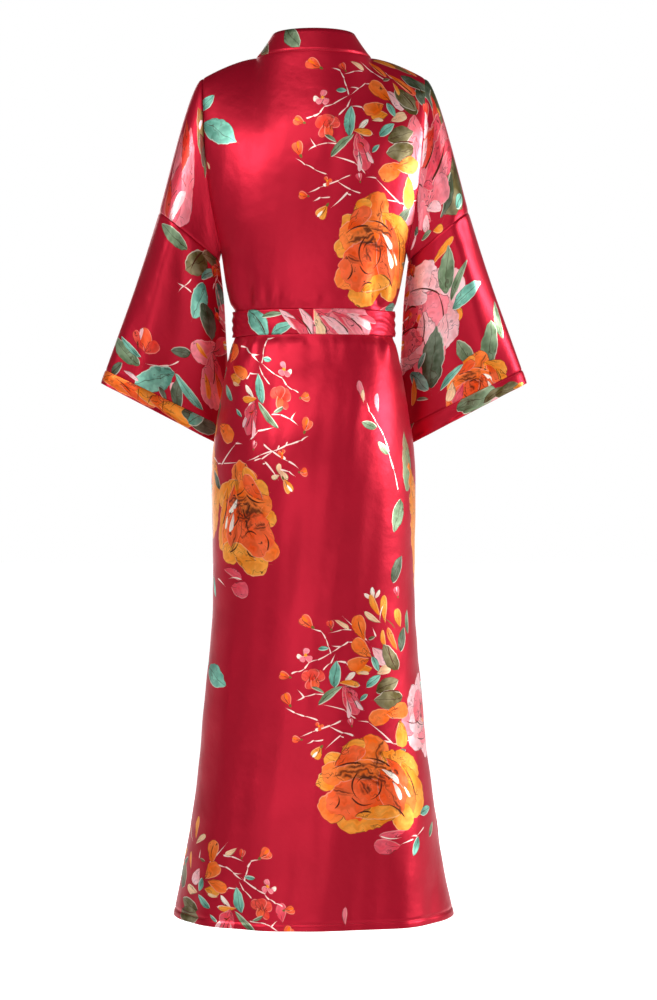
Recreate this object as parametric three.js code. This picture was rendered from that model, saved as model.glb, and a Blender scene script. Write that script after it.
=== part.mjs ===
// A long satin kimono robe, closed and tied, filled out as if worn. Millimetres, +Z up.
// The front faces -Y and the back +Y. The origin is where the wearer's shoulders carry the robe:
// on the centre line, level with the neck points, between the shoulder ridges.
import * as THREE from "three";

// Cloth and seams
const cloth = 1.4; // wall of one layer
const doubled = 2.2; // wall of a strip folded double: neckband, cuffs, belt
const seamGap = 0.3;
const armpitStep = 2.4; // under the arm, where four pieces meet, the sleeve stands off the side seam
const neckStop = 0.8;
const layerStep = 1.7; // how far each front lies from the shared form where the two overlap

// Shoulders, neck and armholes
const neckPoint = { x: 85, y: -8, z: 0 };
const neckBack = { y: 62, z: 0 };
const shoulderTip = { x: 166, y: -4, z: -31 };
const underarm = { x: 138, y: 6, z: -297 };
const armholeDepth = 38; // half the armhole's reach from front to back
const chestInset = 10; // how much nearer the centre the front armhole runs than the back one

// The robe's sections. side is half the width at the side seam, back and front are the depths on the
// centre line, edge is where a front panel ends and its neckband begins.
const sections = [
  { z: 0, side: 166, back: 62, front: -40, edge: 85 },
  { z: -35, side: 166, back: 73, front: -58, edge: 81 },
  { z: -70, side: 166, back: 84, front: -74, edge: 75.5 },
  { z: -110, side: 164, back: 94, front: -89, edge: 67 },
  { z: -178, side: 158, back: 99, front: -105, edge: 46 },
  { z: -240, side: 150, back: 97, front: -112, edge: 20 },
  { z: -297, side: 138, back: 91, front: -109, edge: -6 },
  { z: -345, side: 128.5, back: 84, front: -98, edge: -28 },
  { z: -370, side: 121, back: 80, front: -90, edge: -39 },
  { z: -380, side: 117.5, back: 76, front: -85, edge: -44 },
  { z: -420, side: 117.5, back: 76, front: -85, edge: -57 },
  { z: -430, side: 121.5, back: 82, front: -90, edge: -59 },
  { z: -460, side: 128.5, back: 92, front: -96, edge: -62 },
  { z: -489, side: 134, back: 103, front: -100, edge: -66 },
  { z: -540, side: 143, back: 117, front: -105, edge: -70 },
  { z: -588, side: 150, back: 125, front: -108, edge: -74 },
  { z: -640, side: 151, back: 125, front: -109, edge: -77 },
  { z: -715, side: 150.5, back: 119, front: -110, edge: -80 },
  { z: -828, side: 151, back: 113, front: -112, edge: -85 },
  { z: -903, side: 156, back: 112, front: -114, edge: -88 },
  { z: -978, side: 163, back: 114, front: -117, edge: -91 },
  { z: -1053, side: 170, back: 117, front: -120, edge: -95 },
  { z: -1128, side: 180, back: 122, front: -124, edge: -99 },
  { z: -1203, side: 193, back: 130, front: -130, edge: -103 },
  { z: -1282, side: 209, back: 140, front: -138, edge: -108 },
];

// Rows of the panels: twelve down the armhole, then these heights down to the hem
const armholeRows = 12;
const rowHeights = [
  -297, -320, -342, -358, -370, -380, -400, -420, -430, -443, -462, -489, -520, -555, -595, -640, -690,
  -745, -805, -865, -925, -985, -1040, -1095, -1145, -1190, -1230, -1260, -1282,
];
const lastRow = armholeRows + rowHeights.length - 1;
const yokeRows = 6; // rows over which the shoulder ridge shapes the panels
const neckColumns = 6;
const shoulderColumns = 7;
const middle = neckColumns + shoulderColumns; // the back's middle column
const frontColumns = 14;
const yokeSpan = THREE.MathUtils.degToRad(45);
const sideSpan = THREE.MathUtils.degToRad(90);
const neckShare = Math.asin((neckPoint.x * Math.sin(yokeSpan)) / shoulderTip.x) / yokeSpan;

// Folds of the cloth: a ridge (+) or trough (-) that runs from one point of a face to another,
// strongest at its start and dying away towards its end. x and z in the view of that face.
const folds = [
  { face: "back", fromX: 112, fromZ: -384, toX: 128, toZ: -262, width: 11, depth: 6 },
  { face: "back", fromX: 93, fromZ: -384, toX: 108, toZ: -250, width: 9, depth: -4.5 },
  { face: "back", fromX: 76, fromZ: -384, toX: 86, toZ: -285, width: 10, depth: 4 },
  { face: "back", fromX: 46, fromZ: -384, toX: 44, toZ: -335, width: 9, depth: 2.5 },
  { face: "back", fromX: 12, fromZ: -384, toX: 4, toZ: -345, width: 10, depth: 2.2 },
  { face: "back", fromX: -30, fromZ: -384, toX: -36, toZ: -340, width: 9, depth: 2.5 },
  { face: "back", fromX: -70, fromZ: -384, toX: -80, toZ: -290, width: 10, depth: 3.5 },
  { face: "back", fromX: -90, fromZ: -384, toX: -100, toZ: -245, width: 9, depth: -5 },
  { face: "back", fromX: -108, fromZ: -384, toX: -122, toZ: -265, width: 11, depth: 6 },
  { face: "back", fromX: 104, fromZ: -416, toX: 120, toZ: -560, width: 12, depth: 4 },
  { face: "back", fromX: 66, fromZ: -416, toX: 72, toZ: -500, width: 10, depth: 3 },
  { face: "back", fromX: 30, fromZ: -416, toX: 32, toZ: -470, width: 9, depth: 2.5 },
  { face: "back", fromX: -8, fromZ: -416, toX: -10, toZ: -465, width: 10, depth: 2.2 },
  { face: "back", fromX: -48, fromZ: -416, toX: -54, toZ: -495, width: 10, depth: 3 },
  { face: "back", fromX: -84, fromZ: -416, toX: -92, toZ: -540, width: 11, depth: 4 },
  { face: "back", fromX: -106, fromZ: -416, toX: -124, toZ: -580, width: 11, depth: 4.5 },
  { face: "back", fromX: 150, fromZ: -1285, toX: 122, toZ: -930, width: 26, depth: 7 },
  { face: "back", fromX: 62, fromZ: -1285, toX: 54, toZ: -980, width: 32, depth: 5 },
  { face: "back", fromX: -48, fromZ: -1285, toX: -40, toZ: -1000, width: 34, depth: -4 },
  { face: "back", fromX: -138, fromZ: -1285, toX: -112, toZ: -900, width: 28, depth: 7 },
  { face: "front", fromX: 104, fromZ: -384, toX: 116, toZ: -275, width: 11, depth: 5 },
  { face: "front", fromX: 66, fromZ: -384, toX: 92, toZ: -290, width: 10, depth: 4 },
  { face: "front", fromX: -66, fromZ: -384, toX: -92, toZ: -290, width: 10, depth: 4 },
  { face: "front", fromX: -104, fromZ: -384, toX: -116, toZ: -275, width: 11, depth: 5 },
  { face: "front", fromX: 98, fromZ: -416, toX: 116, toZ: -545, width: 12, depth: 4 },
  { face: "front", fromX: 48, fromZ: -416, toX: 74, toZ: -600, width: 12, depth: 4 },
  { face: "front", fromX: -46, fromZ: -416, toX: -60, toZ: -560, width: 12, depth: 3.5 },
  { face: "front", fromX: -98, fromZ: -416, toX: -116, toZ: -545, width: 12, depth: 4 },
  { face: "front", fromX: 140, fromZ: -1285, toX: 112, toZ: -930, width: 28, depth: 7 },
  { face: "front", fromX: 40, fromZ: -1285, toX: 36, toZ: -960, width: 32, depth: 5 },
  { face: "front", fromX: -60, fromZ: -1285, toX: -52, toZ: -960, width: 30, depth: 4 },
  { face: "front", fromX: -142, fromZ: -1285, toX: -114, toZ: -920, width: 28, depth: 7 },
];

// The sleeve's rings from the seam above the elbow (at 1) through the lower sleeve to the cuff's seam
// (at 2) and the cuff's edge (at 3). out is the edge over the arm, in the hanging edge by the body.
const sleeveRings = [
  { at: 1, outX: 232, outY: -6, outZ: -232, inX: 142, inY: -8, inZ: -304, depth: 45 },
  { at: 1.25, outX: 251, outY: -9, outZ: -292, inX: 136, inY: -22, inZ: -362, depth: 41 },
  { at: 1.5, outX: 272, outY: -12, outZ: -355, inX: 133, inY: -42, inZ: -428, depth: 37 },
  { at: 1.75, outX: 293, outY: -16, outZ: -413, inX: 129, inY: -66, inZ: -494, depth: 34 },
  { at: 2, outX: 313, outY: -20, outZ: -468, inX: 122, inY: -88, inZ: -560, depth: 31 },
  { at: 3, outX: 319.5, outY: -21, outZ: -487.5, inX: 117, inY: -97, inZ: -593, depth: 29 },
];
const sleeveSteps = 2 * armholeRows;
const upperSleeveRings = 6;
const lowerSleeveRings = 8;
const cuffRings = 2;
const capBulge = 8; // how far the upper sleeve swells past a straight line over the shoulder
const teardrop = 0.42; // how much fuller the sleeve is over the arm than where it hangs
// Folds that run along a sleeve, at an angle round it: 0 over the arm, 90 behind, 270 in front
const sleeveFolds = [
  { angle: 52, width: 13, depth: 4, from: 1, to: 2.2 },
  { angle: 84, width: 12, depth: -4, from: 1, to: 2.6 },
  { angle: 118, width: 14, depth: 4.5, from: 1.05, to: 3 },
  { angle: 148, width: 9, depth: -2.5, from: 1.2, to: 3 },
  { angle: 236, width: 13, depth: 4, from: 1, to: 2.8 },
  { angle: 274, width: 12, depth: -4, from: 1, to: 2.6 },
  { angle: 308, width: 13, depth: 4, from: 1, to: 2.4 },
];

// The neckband, a doubled strip that stands behind the neck and runs down both front edges
const bandWidth = 38;
const bandLean = { back: 0.32, side: 0.68 }; // share of the width that leans in towards the neck
const bandColumns = 2;
const bandTurnRows = 7; // rows over which the band turns from standing to lying on the chest

// The belt, its knot at the front and its two ends
const belt = { z: -400, width: 38, clearBack: 2.8, clearSide: 4.4, clearFront: 5.4, steps: 52 };
const knot = { x: 14, width: 46, height: 42, depth: 26, rings: 8, sides: 16 };
// steps and across: how many facets along and across an end; overhang: how far the ends stand off
// the skirt where they leave the knot
const tail = { width: 38, wall: 1.8, steps: 14, across: 3, clear: 4.2, rootZ: -421.5, overhang: 10 };
const tails = [
  { name: "belt_tail_left", rootX: 26, footX: 52, length: 430, lift: 0 },
  { name: "belt_tail_right", rootX: 6, footX: -14, length: 395, lift: 3.2 },
];

const satin = { color: 0xb3182f, roughness: 0.34, metalness: 0 };

const point = (x, y, z) => new THREE.Vector3(x, y, z);
const mix = (a, b, t) => a + (b - a) * t;
const clamp01 = (t) => Math.min(1, Math.max(0, t));
const smooth = (t) => clamp01(t) ** 2 * (3 - 2 * clamp01(t));

// A column of a table at a given key, on a smooth curve through the table's rows
function curveThrough(table, key, column, at) {
  const sign = Math.sign(table[1][key] - table[0][key]);
  let i = 0;
  while (i < table.length - 2 && (at - table[i + 1][key]) * sign > 0) i++;
  const slope = (j) => {
    const a = table[Math.max(j - 1, 0)];
    const b = table[Math.min(j + 1, table.length - 1)];
    return (b[column] - a[column]) / (b[key] - a[key]);
  };
  const [p, q] = [table[i], table[i + 1]];
  const h = q[key] - p[key];
  const t = (at - p[key]) / h;
  return (
    (2 * t ** 3 - 3 * t ** 2 + 1) * p[column] +
    (t ** 3 - 2 * t ** 2 + t) * h * slope(i) +
    (3 * t ** 2 - 2 * t ** 3) * q[column] +
    (t ** 3 - t ** 2) * h * slope(i + 1)
  );
}
const section = (column, z) => curveThrough(sections, "z", column, z);

// The armhole seam of the left side: angle 0 at the shoulder tip, pi under the arm
function armhole(face, angle) {
  const down = (1 - Math.cos(angle)) / 2;
  const reach = armholeDepth * Math.sin(angle) ** 0.8;
  const inset = face === "front" ? chestInset * Math.sin(angle) ** 2 : 0;
  return point(
    mix(underarm.x, shoulderTip.x, 1 - down ** 2.2) - inset,
    mix(shoulderTip.y, underarm.y, down) + (face === "front" ? -reach : reach),
    mix(shoulderTip.z, underarm.z, down),
  );
}

// A row of a body panel: its end on the armhole or side seam, its middle, and the arc between them
function bodyRow(face, v) {
  if (v <= armholeRows) {
    const edge = armhole(face, Math.PI * Math.max(0, Math.min(1, v / armholeRows)));
    const middleZ = edge.z + (neckBack.z - shoulderTip.z) * (1 - smooth(v / 4));
    const span = mix(yokeSpan, sideSpan, (v / armholeRows) ** 2);
    return { edge, middleZ, middleY: section(face, middleZ), span };
  }
  const i = Math.min(Math.floor(v) - armholeRows, rowHeights.length - 2);
  const z = mix(rowHeights[i], rowHeights[i + 1], v - armholeRows - i);
  const forward = underarm.y * (1 - smooth((underarm.z - z) / 60));
  const edge = point(section("side", z), forward, z);
  return { edge, middleZ: z, middleY: section(face, z), span: sideSpan };
}

// How far the folds of a face move the cloth outwards at a point
function foldAt(face, x, z) {
  let out = 0;
  for (const f of folds) {
    const along = (z - f.fromZ) / (f.toZ - f.fromZ);
    if (f.face !== face || along < -0.05 || along > 1) continue;
    const off = (x - mix(f.fromX, f.toX, along)) / (f.width * (1 + along));
    out += f.depth * Math.exp(-off * off) * (1 - smooth(along));
  }
  return out * smooth((Math.abs(z - belt.z) - belt.width / 2) / 14);
}

// The arc of a row, before the shoulder ridge shapes it
function arcPoint(row, share) {
  const turn = share * row.span;
  const x = (row.edge.x * Math.sin(turn)) / Math.sin(row.span);
  const rise = (Math.cos(turn) - Math.cos(row.span)) / (1 - Math.cos(row.span));
  const outward = clamp01((x - neckPoint.x) / (shoulderTip.x - neckPoint.x));
  const fall = row.edge.z < row.middleZ ? outward ** 1.5 : 0;
  return point(x, mix(row.edge.y, row.middleY, rise), mix(row.middleZ, row.edge.z, fall));
}

// The top edge of a panel: round the neck on the back, then along the shoulder ridge
function topEdge(face, share) {
  if (share < neckShare) {
    const turn = (Math.PI / 2) * (share / neckShare);
    return point(
      neckPoint.x * Math.sin(turn),
      mix(neckPoint.y, neckBack.y, Math.cos(turn)),
      mix(neckPoint.z, neckBack.z, Math.cos(turn)),
    );
  }
  const x = (shoulderTip.x * Math.sin(share * yokeSpan)) / Math.sin(yokeSpan);
  const outward = clamp01((x - neckPoint.x) / (shoulderTip.x - neckPoint.x));
  return point(x, mix(neckPoint.y, shoulderTip.y, outward), mix(neckPoint.z, shoulderTip.z, outward ** 1.5));
}

// A point of the body's form. share runs from -1 at the right side to 1 at the left side.
function bodyPoint(face, share, v) {
  const away = Math.abs(share);
  const p = arcPoint(bodyRow(face, v), away);
  if (v < yokeRows) {
    const shaped = face === "front" ? Math.max(away, neckShare) : away;
    const pull = topEdge(face, shaped).sub(arcPoint(bodyRow(face, 0), shaped));
    p.addScaledVector(pull, (1 - v / yokeRows) ** 1.6);
  }
  if (share < 0) p.x = -p.x;
  const sideways = point(p.x / section("side", p.z) ** 2, p.y / section(face, p.z) ** 2, 0).normalize();
  return p.addScaledVector(sideways, foldAt(face, p.x, p.z));
}

// The share at which the left front panel ends, on row v
function frontEdgeShare(v) {
  const row = bodyRow("front", v);
  const x = section("edge", row.middleZ);
  return Math.asin((x * Math.sin(row.span)) / row.edge.x) / row.span;
}

// A point of the left sleeve: at 0 on the armhole, 1 on the seam above the elbow, 3 on the cuff's edge
function sleeveSection(angle, at) {
  const ring = (column) => curveThrough(sleeveRings, "at", column, at);
  const out = point(ring("outX"), ring("outY"), ring("outZ"));
  const into = point(ring("inX"), ring("inY"), ring("inZ"));
  const middle = out.clone().add(into).multiplyScalar(0.5);
  const half = out.clone().sub(into).multiplyScalar(0.5);
  const behind = point(0, 1, 0).projectOnPlane(half.clone().normalize()).normalize();
  let reach = ring("depth") * Math.sin(angle) * (1 + teardrop * Math.cos(angle));
  const degrees = THREE.MathUtils.radToDeg(angle);
  for (const f of sleeveFolds) {
    const off = (degrees - f.angle) / f.width;
    const rise = smooth((at - f.from) / 0.25) * smooth((f.to + 0.6 - at) / 0.6);
    reach += f.depth * Math.exp(-off * off) * rise * Math.sign(Math.sin(angle));
  }
  return middle.addScaledVector(half, Math.cos(angle)).addScaledVector(behind, reach);
}
function sleevePoint(angle, at) {
  if (at >= 1) return sleeveSection(angle, at);
  const seam = armhole(angle > Math.PI ? "front" : "back", angle > Math.PI ? 2 * Math.PI - angle : angle);
  const swell = capBulge * Math.sin(Math.PI * Math.sqrt(at)) * clamp01(Math.cos(angle));
  const aside = armpitStep * Math.max(0, -Math.cos(angle)) ** 20 * (1 - at);
  return seam.lerp(sleeveSection(angle, 1), at).add(point(0.94 * swell + aside, 0, 0.34 * swell));
}

// A sheet of the cloth's middle: rows of points, with the outward direction at each
function sheet(rows, columns, place, outside, closed = false) {
  const points = rows.map((r) => columns.map((c) => place(r, c)));
  const normals = points.map((row, i) =>
    row.map((p, j) => {
      const n = row.length;
      const before = closed ? row[(j + n - 1) % n] : row[Math.max(j - 1, 0)];
      const after = closed ? row[(j + 1) % n] : row[Math.min(j + 1, n - 1)];
      const above = points[Math.max(i - 1, 0)][j];
      const below = points[Math.min(i + 1, points.length - 1)][j];
      return after.clone().sub(before).cross(above.clone().sub(below)).multiplyScalar(outside).normalize();
    }),
  );
  return { points, normals, closed, outside };
}

// Both sheets leave the seam by half its gap, and their walls end in the same direction there
function joinSeam(a, b, pairs) {
  for (const [[ai, aj, aIn], [bi, bj, bIn]] of pairs) {
    const shared = a.normals[ai][aj].clone().add(b.normals[bi][bj]).normalize();
    a.normals[ai][aj] = shared.clone();
    b.normals[bi][bj] = shared.clone();
    for (const [s, i, j, [ii, jj]] of [[a, ai, aj, aIn], [b, bi, bj, bIn]]) {
      const inward = s.points[ii][jj].clone().sub(s.points[i][j]);
      inward.addScaledVector(shared, -inward.dot(shared)).normalize();
      s.points[i][j].addScaledVector(inward, seamGap / 2);
    }
  }
}

// The closed wall round a sheet, as a geometry
function wall(s, thickness) {
  const rows = s.points.length;
  const columns = s.points[0].length;
  const positions = [];
  for (const side of [0.5, -0.5])
    s.points.forEach((row, i) =>
      row.forEach((p, j) => positions.push(...p.clone().addScaledVector(s.normals[i][j], side * thickness))),
    );
  const id = (side, i, j) => side * rows * columns + i * columns + (j % columns);
  const faces = [];
  const quad = (a, b, c, d) => faces.push(...(s.outside > 0 ? [a, b, c, a, c, d] : [a, c, b, a, d, c]));
  const across = s.closed ? columns : columns - 1;
  for (let i = 0; i < rows - 1; i++)
    for (let j = 0; j < across; j++) {
      quad(id(0, i, j), id(0, i + 1, j), id(0, i + 1, j + 1), id(0, i, j + 1));
      quad(id(1, i, j), id(1, i, j + 1), id(1, i + 1, j + 1), id(1, i + 1, j));
    }
  for (let j = 0; j < across; j++) {
    quad(id(0, 0, j), id(0, 0, j + 1), id(1, 0, j + 1), id(1, 0, j));
    quad(id(0, rows - 1, j), id(1, rows - 1, j), id(1, rows - 1, j + 1), id(0, rows - 1, j + 1));
  }
  if (!s.closed)
    for (let i = 0; i < rows - 1; i++) {
      quad(id(0, i, 0), id(1, i, 0), id(1, i + 1, 0), id(0, i + 1, 0));
      quad(id(0, i, across), id(0, i + 1, across), id(1, i + 1, across), id(1, i, across));
    }
  const geometry = new THREE.BufferGeometry();
  geometry.setAttribute("position", new THREE.Float32BufferAttribute(positions, 3));
  geometry.setIndex(faces);
  return geometry;
}

const count = (n) => Array.from({ length: n }, (_, i) => i);
const allRows = count(lastRow + 1);

function backSheet() {
  const share = (c) =>
    Math.sign(c) *
    (Math.abs(c) <= neckColumns
      ? (neckShare * Math.abs(c)) / neckColumns
      : mix(neckShare, 1, (Math.abs(c) - neckColumns) / shoulderColumns));
  const columns = count(2 * middle + 1).map((i) => i - middle);
  return sheet(allRows, columns, (v, c) => bodyPoint("back", share(c), v), -1);
}

const probe = 0.02; // the small step of share over which the cloth's length is measured
// A front with its half of the neckband as one sheet: columns below 0 are the band's. side is 1 for
// the left front, which lies over the right one.
function frontAndBand(side) {
  const columns = count(bandColumns + frontColumns + 1).map((i) => i - bandColumns);
  const share = (v, c) => {
    const edge = frontEdgeShare(v);
    if (c >= 0) return mix(edge, 1, c / frontColumns);
    const span = bodyPoint("front", edge, v).distanceTo(bodyPoint("front", edge - probe, v));
    return edge + ((c * bandWidth) / bandColumns) * (probe / span);
  };
  const flat = sheet(allRows, columns, (v, c) => bodyPoint("front", side * share(v, c), v), side);
  const place = (v, c) => {
    const [p, n] = [flat.points, flat.normals].map((grid) => grid[v][c + bandColumns]);
    const layered = smooth((1 - share(v, c)) / 0.25) * smooth((v - 3) / 4);
    const lying = p.clone().addScaledVector(n, side * layerStep * layered);
    if (c >= 0) return lying;
    const root = place(v, 0);
    const upright = root.addScaledVector(standing((side * Math.PI) / 2), (-c * bandWidth) / bandColumns);
    return upright.lerp(lying, smooth(v / bandTurnRows));
  };
  return sheet(allRows, columns, place, side);
}
const standing = (turn) => {
  const lean = mix(bandLean.back, bandLean.side, (Math.abs(turn) / (Math.PI / 2)) ** 2);
  return point(-Math.sin(turn) * lean, -Math.cos(turn) * lean, Math.sqrt(1 - lean * lean));
};

// The columns of a sheet from one to another, as a sheet of its own
function columnsOf(s, from, to) {
  const cut = (grid) => grid.map((row) => row.slice(from, to + 1).map((p) => p.clone()));
  return { ...s, points: cut(s.points), normals: cut(s.normals) };
}

// The neckband grows out of the left front's edge, the back's neck and the right front's edge
function bandSheet(back, left, right) {
  const stations = [];
  for (const v of [...allRows].reverse()) stations.push((i) => left.points[v][bandColumns - i]);
  for (let c = neckColumns - 1; c > -neckColumns; c--) {
    const lean = standing(((Math.PI / 2) * c) / neckColumns);
    const root = back.points[0][middle + c];
    stations.push((i) => root.clone().addScaledVector(lean, (bandWidth * i) / bandColumns));
  }
  for (const v of allRows) stations.push((i) => right.points[v][bandColumns - i]);
  return sheet(count(bandColumns + 1), count(stations.length), (i, j) => stations[j](i).clone(), -1);
}

function sleeveSheet(side, from, to, rings) {
  const rows = count(rings + 1).map((i) => mix(from, to, i / rings));
  const columns = count(sleeveSteps).map((i) => (2 * Math.PI * i) / sleeveSteps);
  const place = (at, angle) => sleevePoint(angle, at).multiply(point(side, 1, 1));
  return sheet(rows, columns, place, side, true);
}

const beltFront = belt.clearFront - section("front", belt.z);
function beltSheet() {
  const rows = [-1, 0, 1].map((i) => belt.z - (i * belt.width) / 2);
  const columns = count(belt.steps).map((i) => (2 * Math.PI * i) / belt.steps);
  const place = (z, angle) => {
    const reach = Math.cos(angle) > 0 ? section("back", belt.z) + belt.clearBack : beltFront;
    return point((section("side", belt.z) + belt.clearSide) * Math.sin(angle), reach * Math.cos(angle), z);
  };
  return sheet(rows, columns, place, -1, true);
}

// The knot: a rounded lump of cloth, wider than high, pressed flat against the belt
function knotGeometry() {
  const profile = [];
  for (let i = 0; i <= knot.rings; i++) {
    const turn = (Math.PI * i) / knot.rings - Math.PI / 2;
    const swell = Math.sign(Math.sin(turn)) * Math.abs(Math.sin(turn)) ** 0.8;
    profile.push(new THREE.Vector2(i % knot.rings === 0 ? 0 : Math.cos(turn) ** 0.7, swell));
  }
  return new THREE.LatheGeometry(profile, knot.sides).scale(knot.width / 2, knot.depth / 2, knot.height / 2);
}

// One hanging end of the belt, over the front of the skirt
function tailSheet(end) {
  const rows = count(tail.steps + 1);
  const place = (i, c) => {
    const down = i / tail.steps;
    const z = tail.rootZ - end.length * down;
    const x = mix(end.rootX, end.footX, down) + (c - tail.across / 2) * (tail.width / tail.across);
    const half = section("side", z);
    const ridge = Math.max(0, foldAt("front", x, z));
    const surface = section("front", z) * Math.sqrt(1 - (x / half) ** 2) - ridge;
    return point(x, surface - tail.clear - end.lift - tail.overhang * (1 - smooth(down * 5)), z);
  };
  return sheet(rows, count(tail.across + 1), place, 1);
}

function mesh(name, geometry) {
  const made = new THREE.Mesh(geometry, new THREE.MeshStandardMaterial(satin));
  made.name = name;
  return made;
}

const back = backSheet();
const halves = { left: frontAndBand(1), right: frontAndBand(-1) };
const band = bandSheet(back, halves.left, halves.right);
const lastColumn = bandColumns + frontColumns;
const fronts = {
  left: columnsOf(halves.left, bandColumns, lastColumn),
  right: columnsOf(halves.right, bandColumns, lastColumn),
};
const robe = new THREE.Group();

for (const [word, side] of [["left", 1], ["right", -1]]) {
  const front = fronts[word];
  const upper = sleeveSheet(side, 0, 1, upperSleeveRings);
  const lower = sleeveSheet(side, 1, 2, lowerSleeveRings);
  const cuff = sleeveSheet(side, 2, 3, cuffRings);
  const outer = middle + side * middle;
  const nextIn = outer - side;
  const sideRows = allRows.slice(armholeRows);
  // side seam
  joinSeam(back, front, sideRows.map((v) => [
    [v, outer, [v, nextIn]],
    [v, frontColumns, [v, frontColumns - 1]],
  ]));
  // shoulder seam, where the front has two steps for each of the back's
  joinSeam(back, front, count(shoulderColumns + 1).map((k) => [
    [0, middle + side * (neckColumns + k), [1, middle + side * (neckColumns + k)]],
    [0, 2 * k, [1, 2 * k]],
  ]));
  for (let k = 1; k < frontColumns; k += 2) {
    front.normals[0][k] = front.normals[0][k - 1].clone().add(front.normals[0][k + 1]).normalize();
    front.points[0][k] = front.points[0][k - 1].clone().lerp(front.points[0][k + 1], 0.5);
  }
  // armhole
  joinSeam(back, upper, count(armholeRows).map((v) => [
    [v, outer, [v, nextIn]],
    [0, v, [1, v]],
  ]));
  joinSeam(front, upper, count(armholeRows).map((v) => [
    [v, frontColumns, [v, frontColumns - 1]],
    [0, (sleeveSteps - v) % sleeveSteps, [1, (sleeveSteps - v) % sleeveSteps]],
  ]));
  // at the neck point the shoulder seam stops short of the neckband
  for (const [s, j] of [[back, middle + side * neckColumns], [front, 0]]) {
    const along = s === back ? side : 1;
    const corner = s.points[0][j];
    corner.lerp(s.points[0][j + along], neckStop / corner.distanceTo(s.points[0][j + along]));
  }
  // the seam above the elbow and the cuff's seam
  for (const [a, b, last] of [[upper, lower, upperSleeveRings], [lower, cuff, lowerSleeveRings]])
    joinSeam(a, b, count(sleeveSteps).map((k) => [[last, k, [last - 1, k]], [0, k, [1, k]]]));
  const sleeve = new THREE.Group();
  sleeve.add(mesh(`sleeve_upper_${word}`, wall(upper, cloth)));
  sleeve.add(mesh(`sleeve_lower_${word}`, wall(lower, cloth)));
  sleeve.add(mesh(`cuff_${word}`, wall(cuff, doubled)));
  robe.add(sleeve);
}

// the neckband's seam with the back's neck and both front edges
const bandLast = band.points[0].length - 1;
const ends = [
  [fronts.left, (v) => lastRow - v],
  [fronts.right, (v) => bandLast - lastRow + v],
];
for (const [front, station] of ends)
  joinSeam(band, front, allRows.map((v) => [[0, station(v), [1, station(v)]], [v, 0, [v, 1]]]));
joinSeam(band, back, count(2 * neckColumns - 1).map((i) => {
  const c = neckColumns - 1 - i;
  return [[0, lastRow + 1 + i, [1, lastRow + 1 + i]], [0, middle + c, [1, middle + c]]];
}));

robe.add(mesh("back", wall(back, cloth)));
robe.add(mesh("front_left", wall(fronts.left, cloth)));
robe.add(mesh("front_right", wall(fronts.right, cloth)));
robe.add(mesh("neckband", wall(band, doubled)));
robe.add(mesh("belt", wall(beltSheet(), doubled)));

const tie = new THREE.Group();
const knotMesh = mesh("belt_knot", knotGeometry());
knotMesh.position.set(knot.x, -(beltFront + doubled / 2 + seamGap + knot.depth / 2), belt.z);
tie.add(knotMesh);
for (const end of tails) tie.add(mesh(end.name, wall(tailSheet(end), tail.wall)));
robe.add(tie);

export default robe;
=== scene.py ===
import math
import random

import bmesh
import bpy
import numpy as np
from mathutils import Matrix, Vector


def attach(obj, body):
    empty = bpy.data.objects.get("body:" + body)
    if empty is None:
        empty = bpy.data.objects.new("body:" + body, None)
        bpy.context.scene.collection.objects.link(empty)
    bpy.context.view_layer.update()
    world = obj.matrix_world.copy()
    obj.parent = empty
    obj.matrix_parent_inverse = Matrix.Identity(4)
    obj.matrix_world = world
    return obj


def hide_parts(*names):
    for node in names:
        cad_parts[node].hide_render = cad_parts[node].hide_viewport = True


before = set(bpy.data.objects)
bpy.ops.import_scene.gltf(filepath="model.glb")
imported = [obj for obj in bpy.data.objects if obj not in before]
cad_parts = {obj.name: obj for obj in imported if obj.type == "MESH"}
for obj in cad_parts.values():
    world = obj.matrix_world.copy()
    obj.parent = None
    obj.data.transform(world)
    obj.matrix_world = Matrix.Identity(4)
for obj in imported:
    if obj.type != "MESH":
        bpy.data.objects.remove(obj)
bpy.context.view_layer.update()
mm = 0.001  # every size below is in millimetres and becomes metres when a piece is made


# Sizes of the robe's form

neckPoint = (85, -8, 0)
neckBackDepth = 62
shoulderTip = (166, -4, -31)
underarm = (138, 6, -297)
armholeDepth = 38
chestInset = 10
armholeRows = 12
yokeRows = 6
yokeSpan = math.radians(45)
sideSpan = math.radians(90)
neckShare = math.asin(neckPoint[0] * math.sin(yokeSpan) / shoulderTip[0]) / yokeSpan
rowSpacing = 25
layerStep = 1.7
bandSize = {
    "width": 38,
    "leanBack": 0.32,
    "leanSide": 0.68,
    "turnRows": 7,
    "columns": 6,
    "stations": 33,
    "lift": 0.5,
}
beltSize = {"z": -400, "width": 38, "clearBack": 2.8, "clearSide": 4.4, "clearFront": 5.4, "ease": 14}
walls = {"cloth": 1.2, "doubled": 2.0, "belt": 1.8, "tail": 1.6}
hem = {"width": 10, "puff": 0.5, "stitchDip": 1.1, "stitchReach": 1.3}
seam = {"dip": 0.9, "reach": 2.4}

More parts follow.
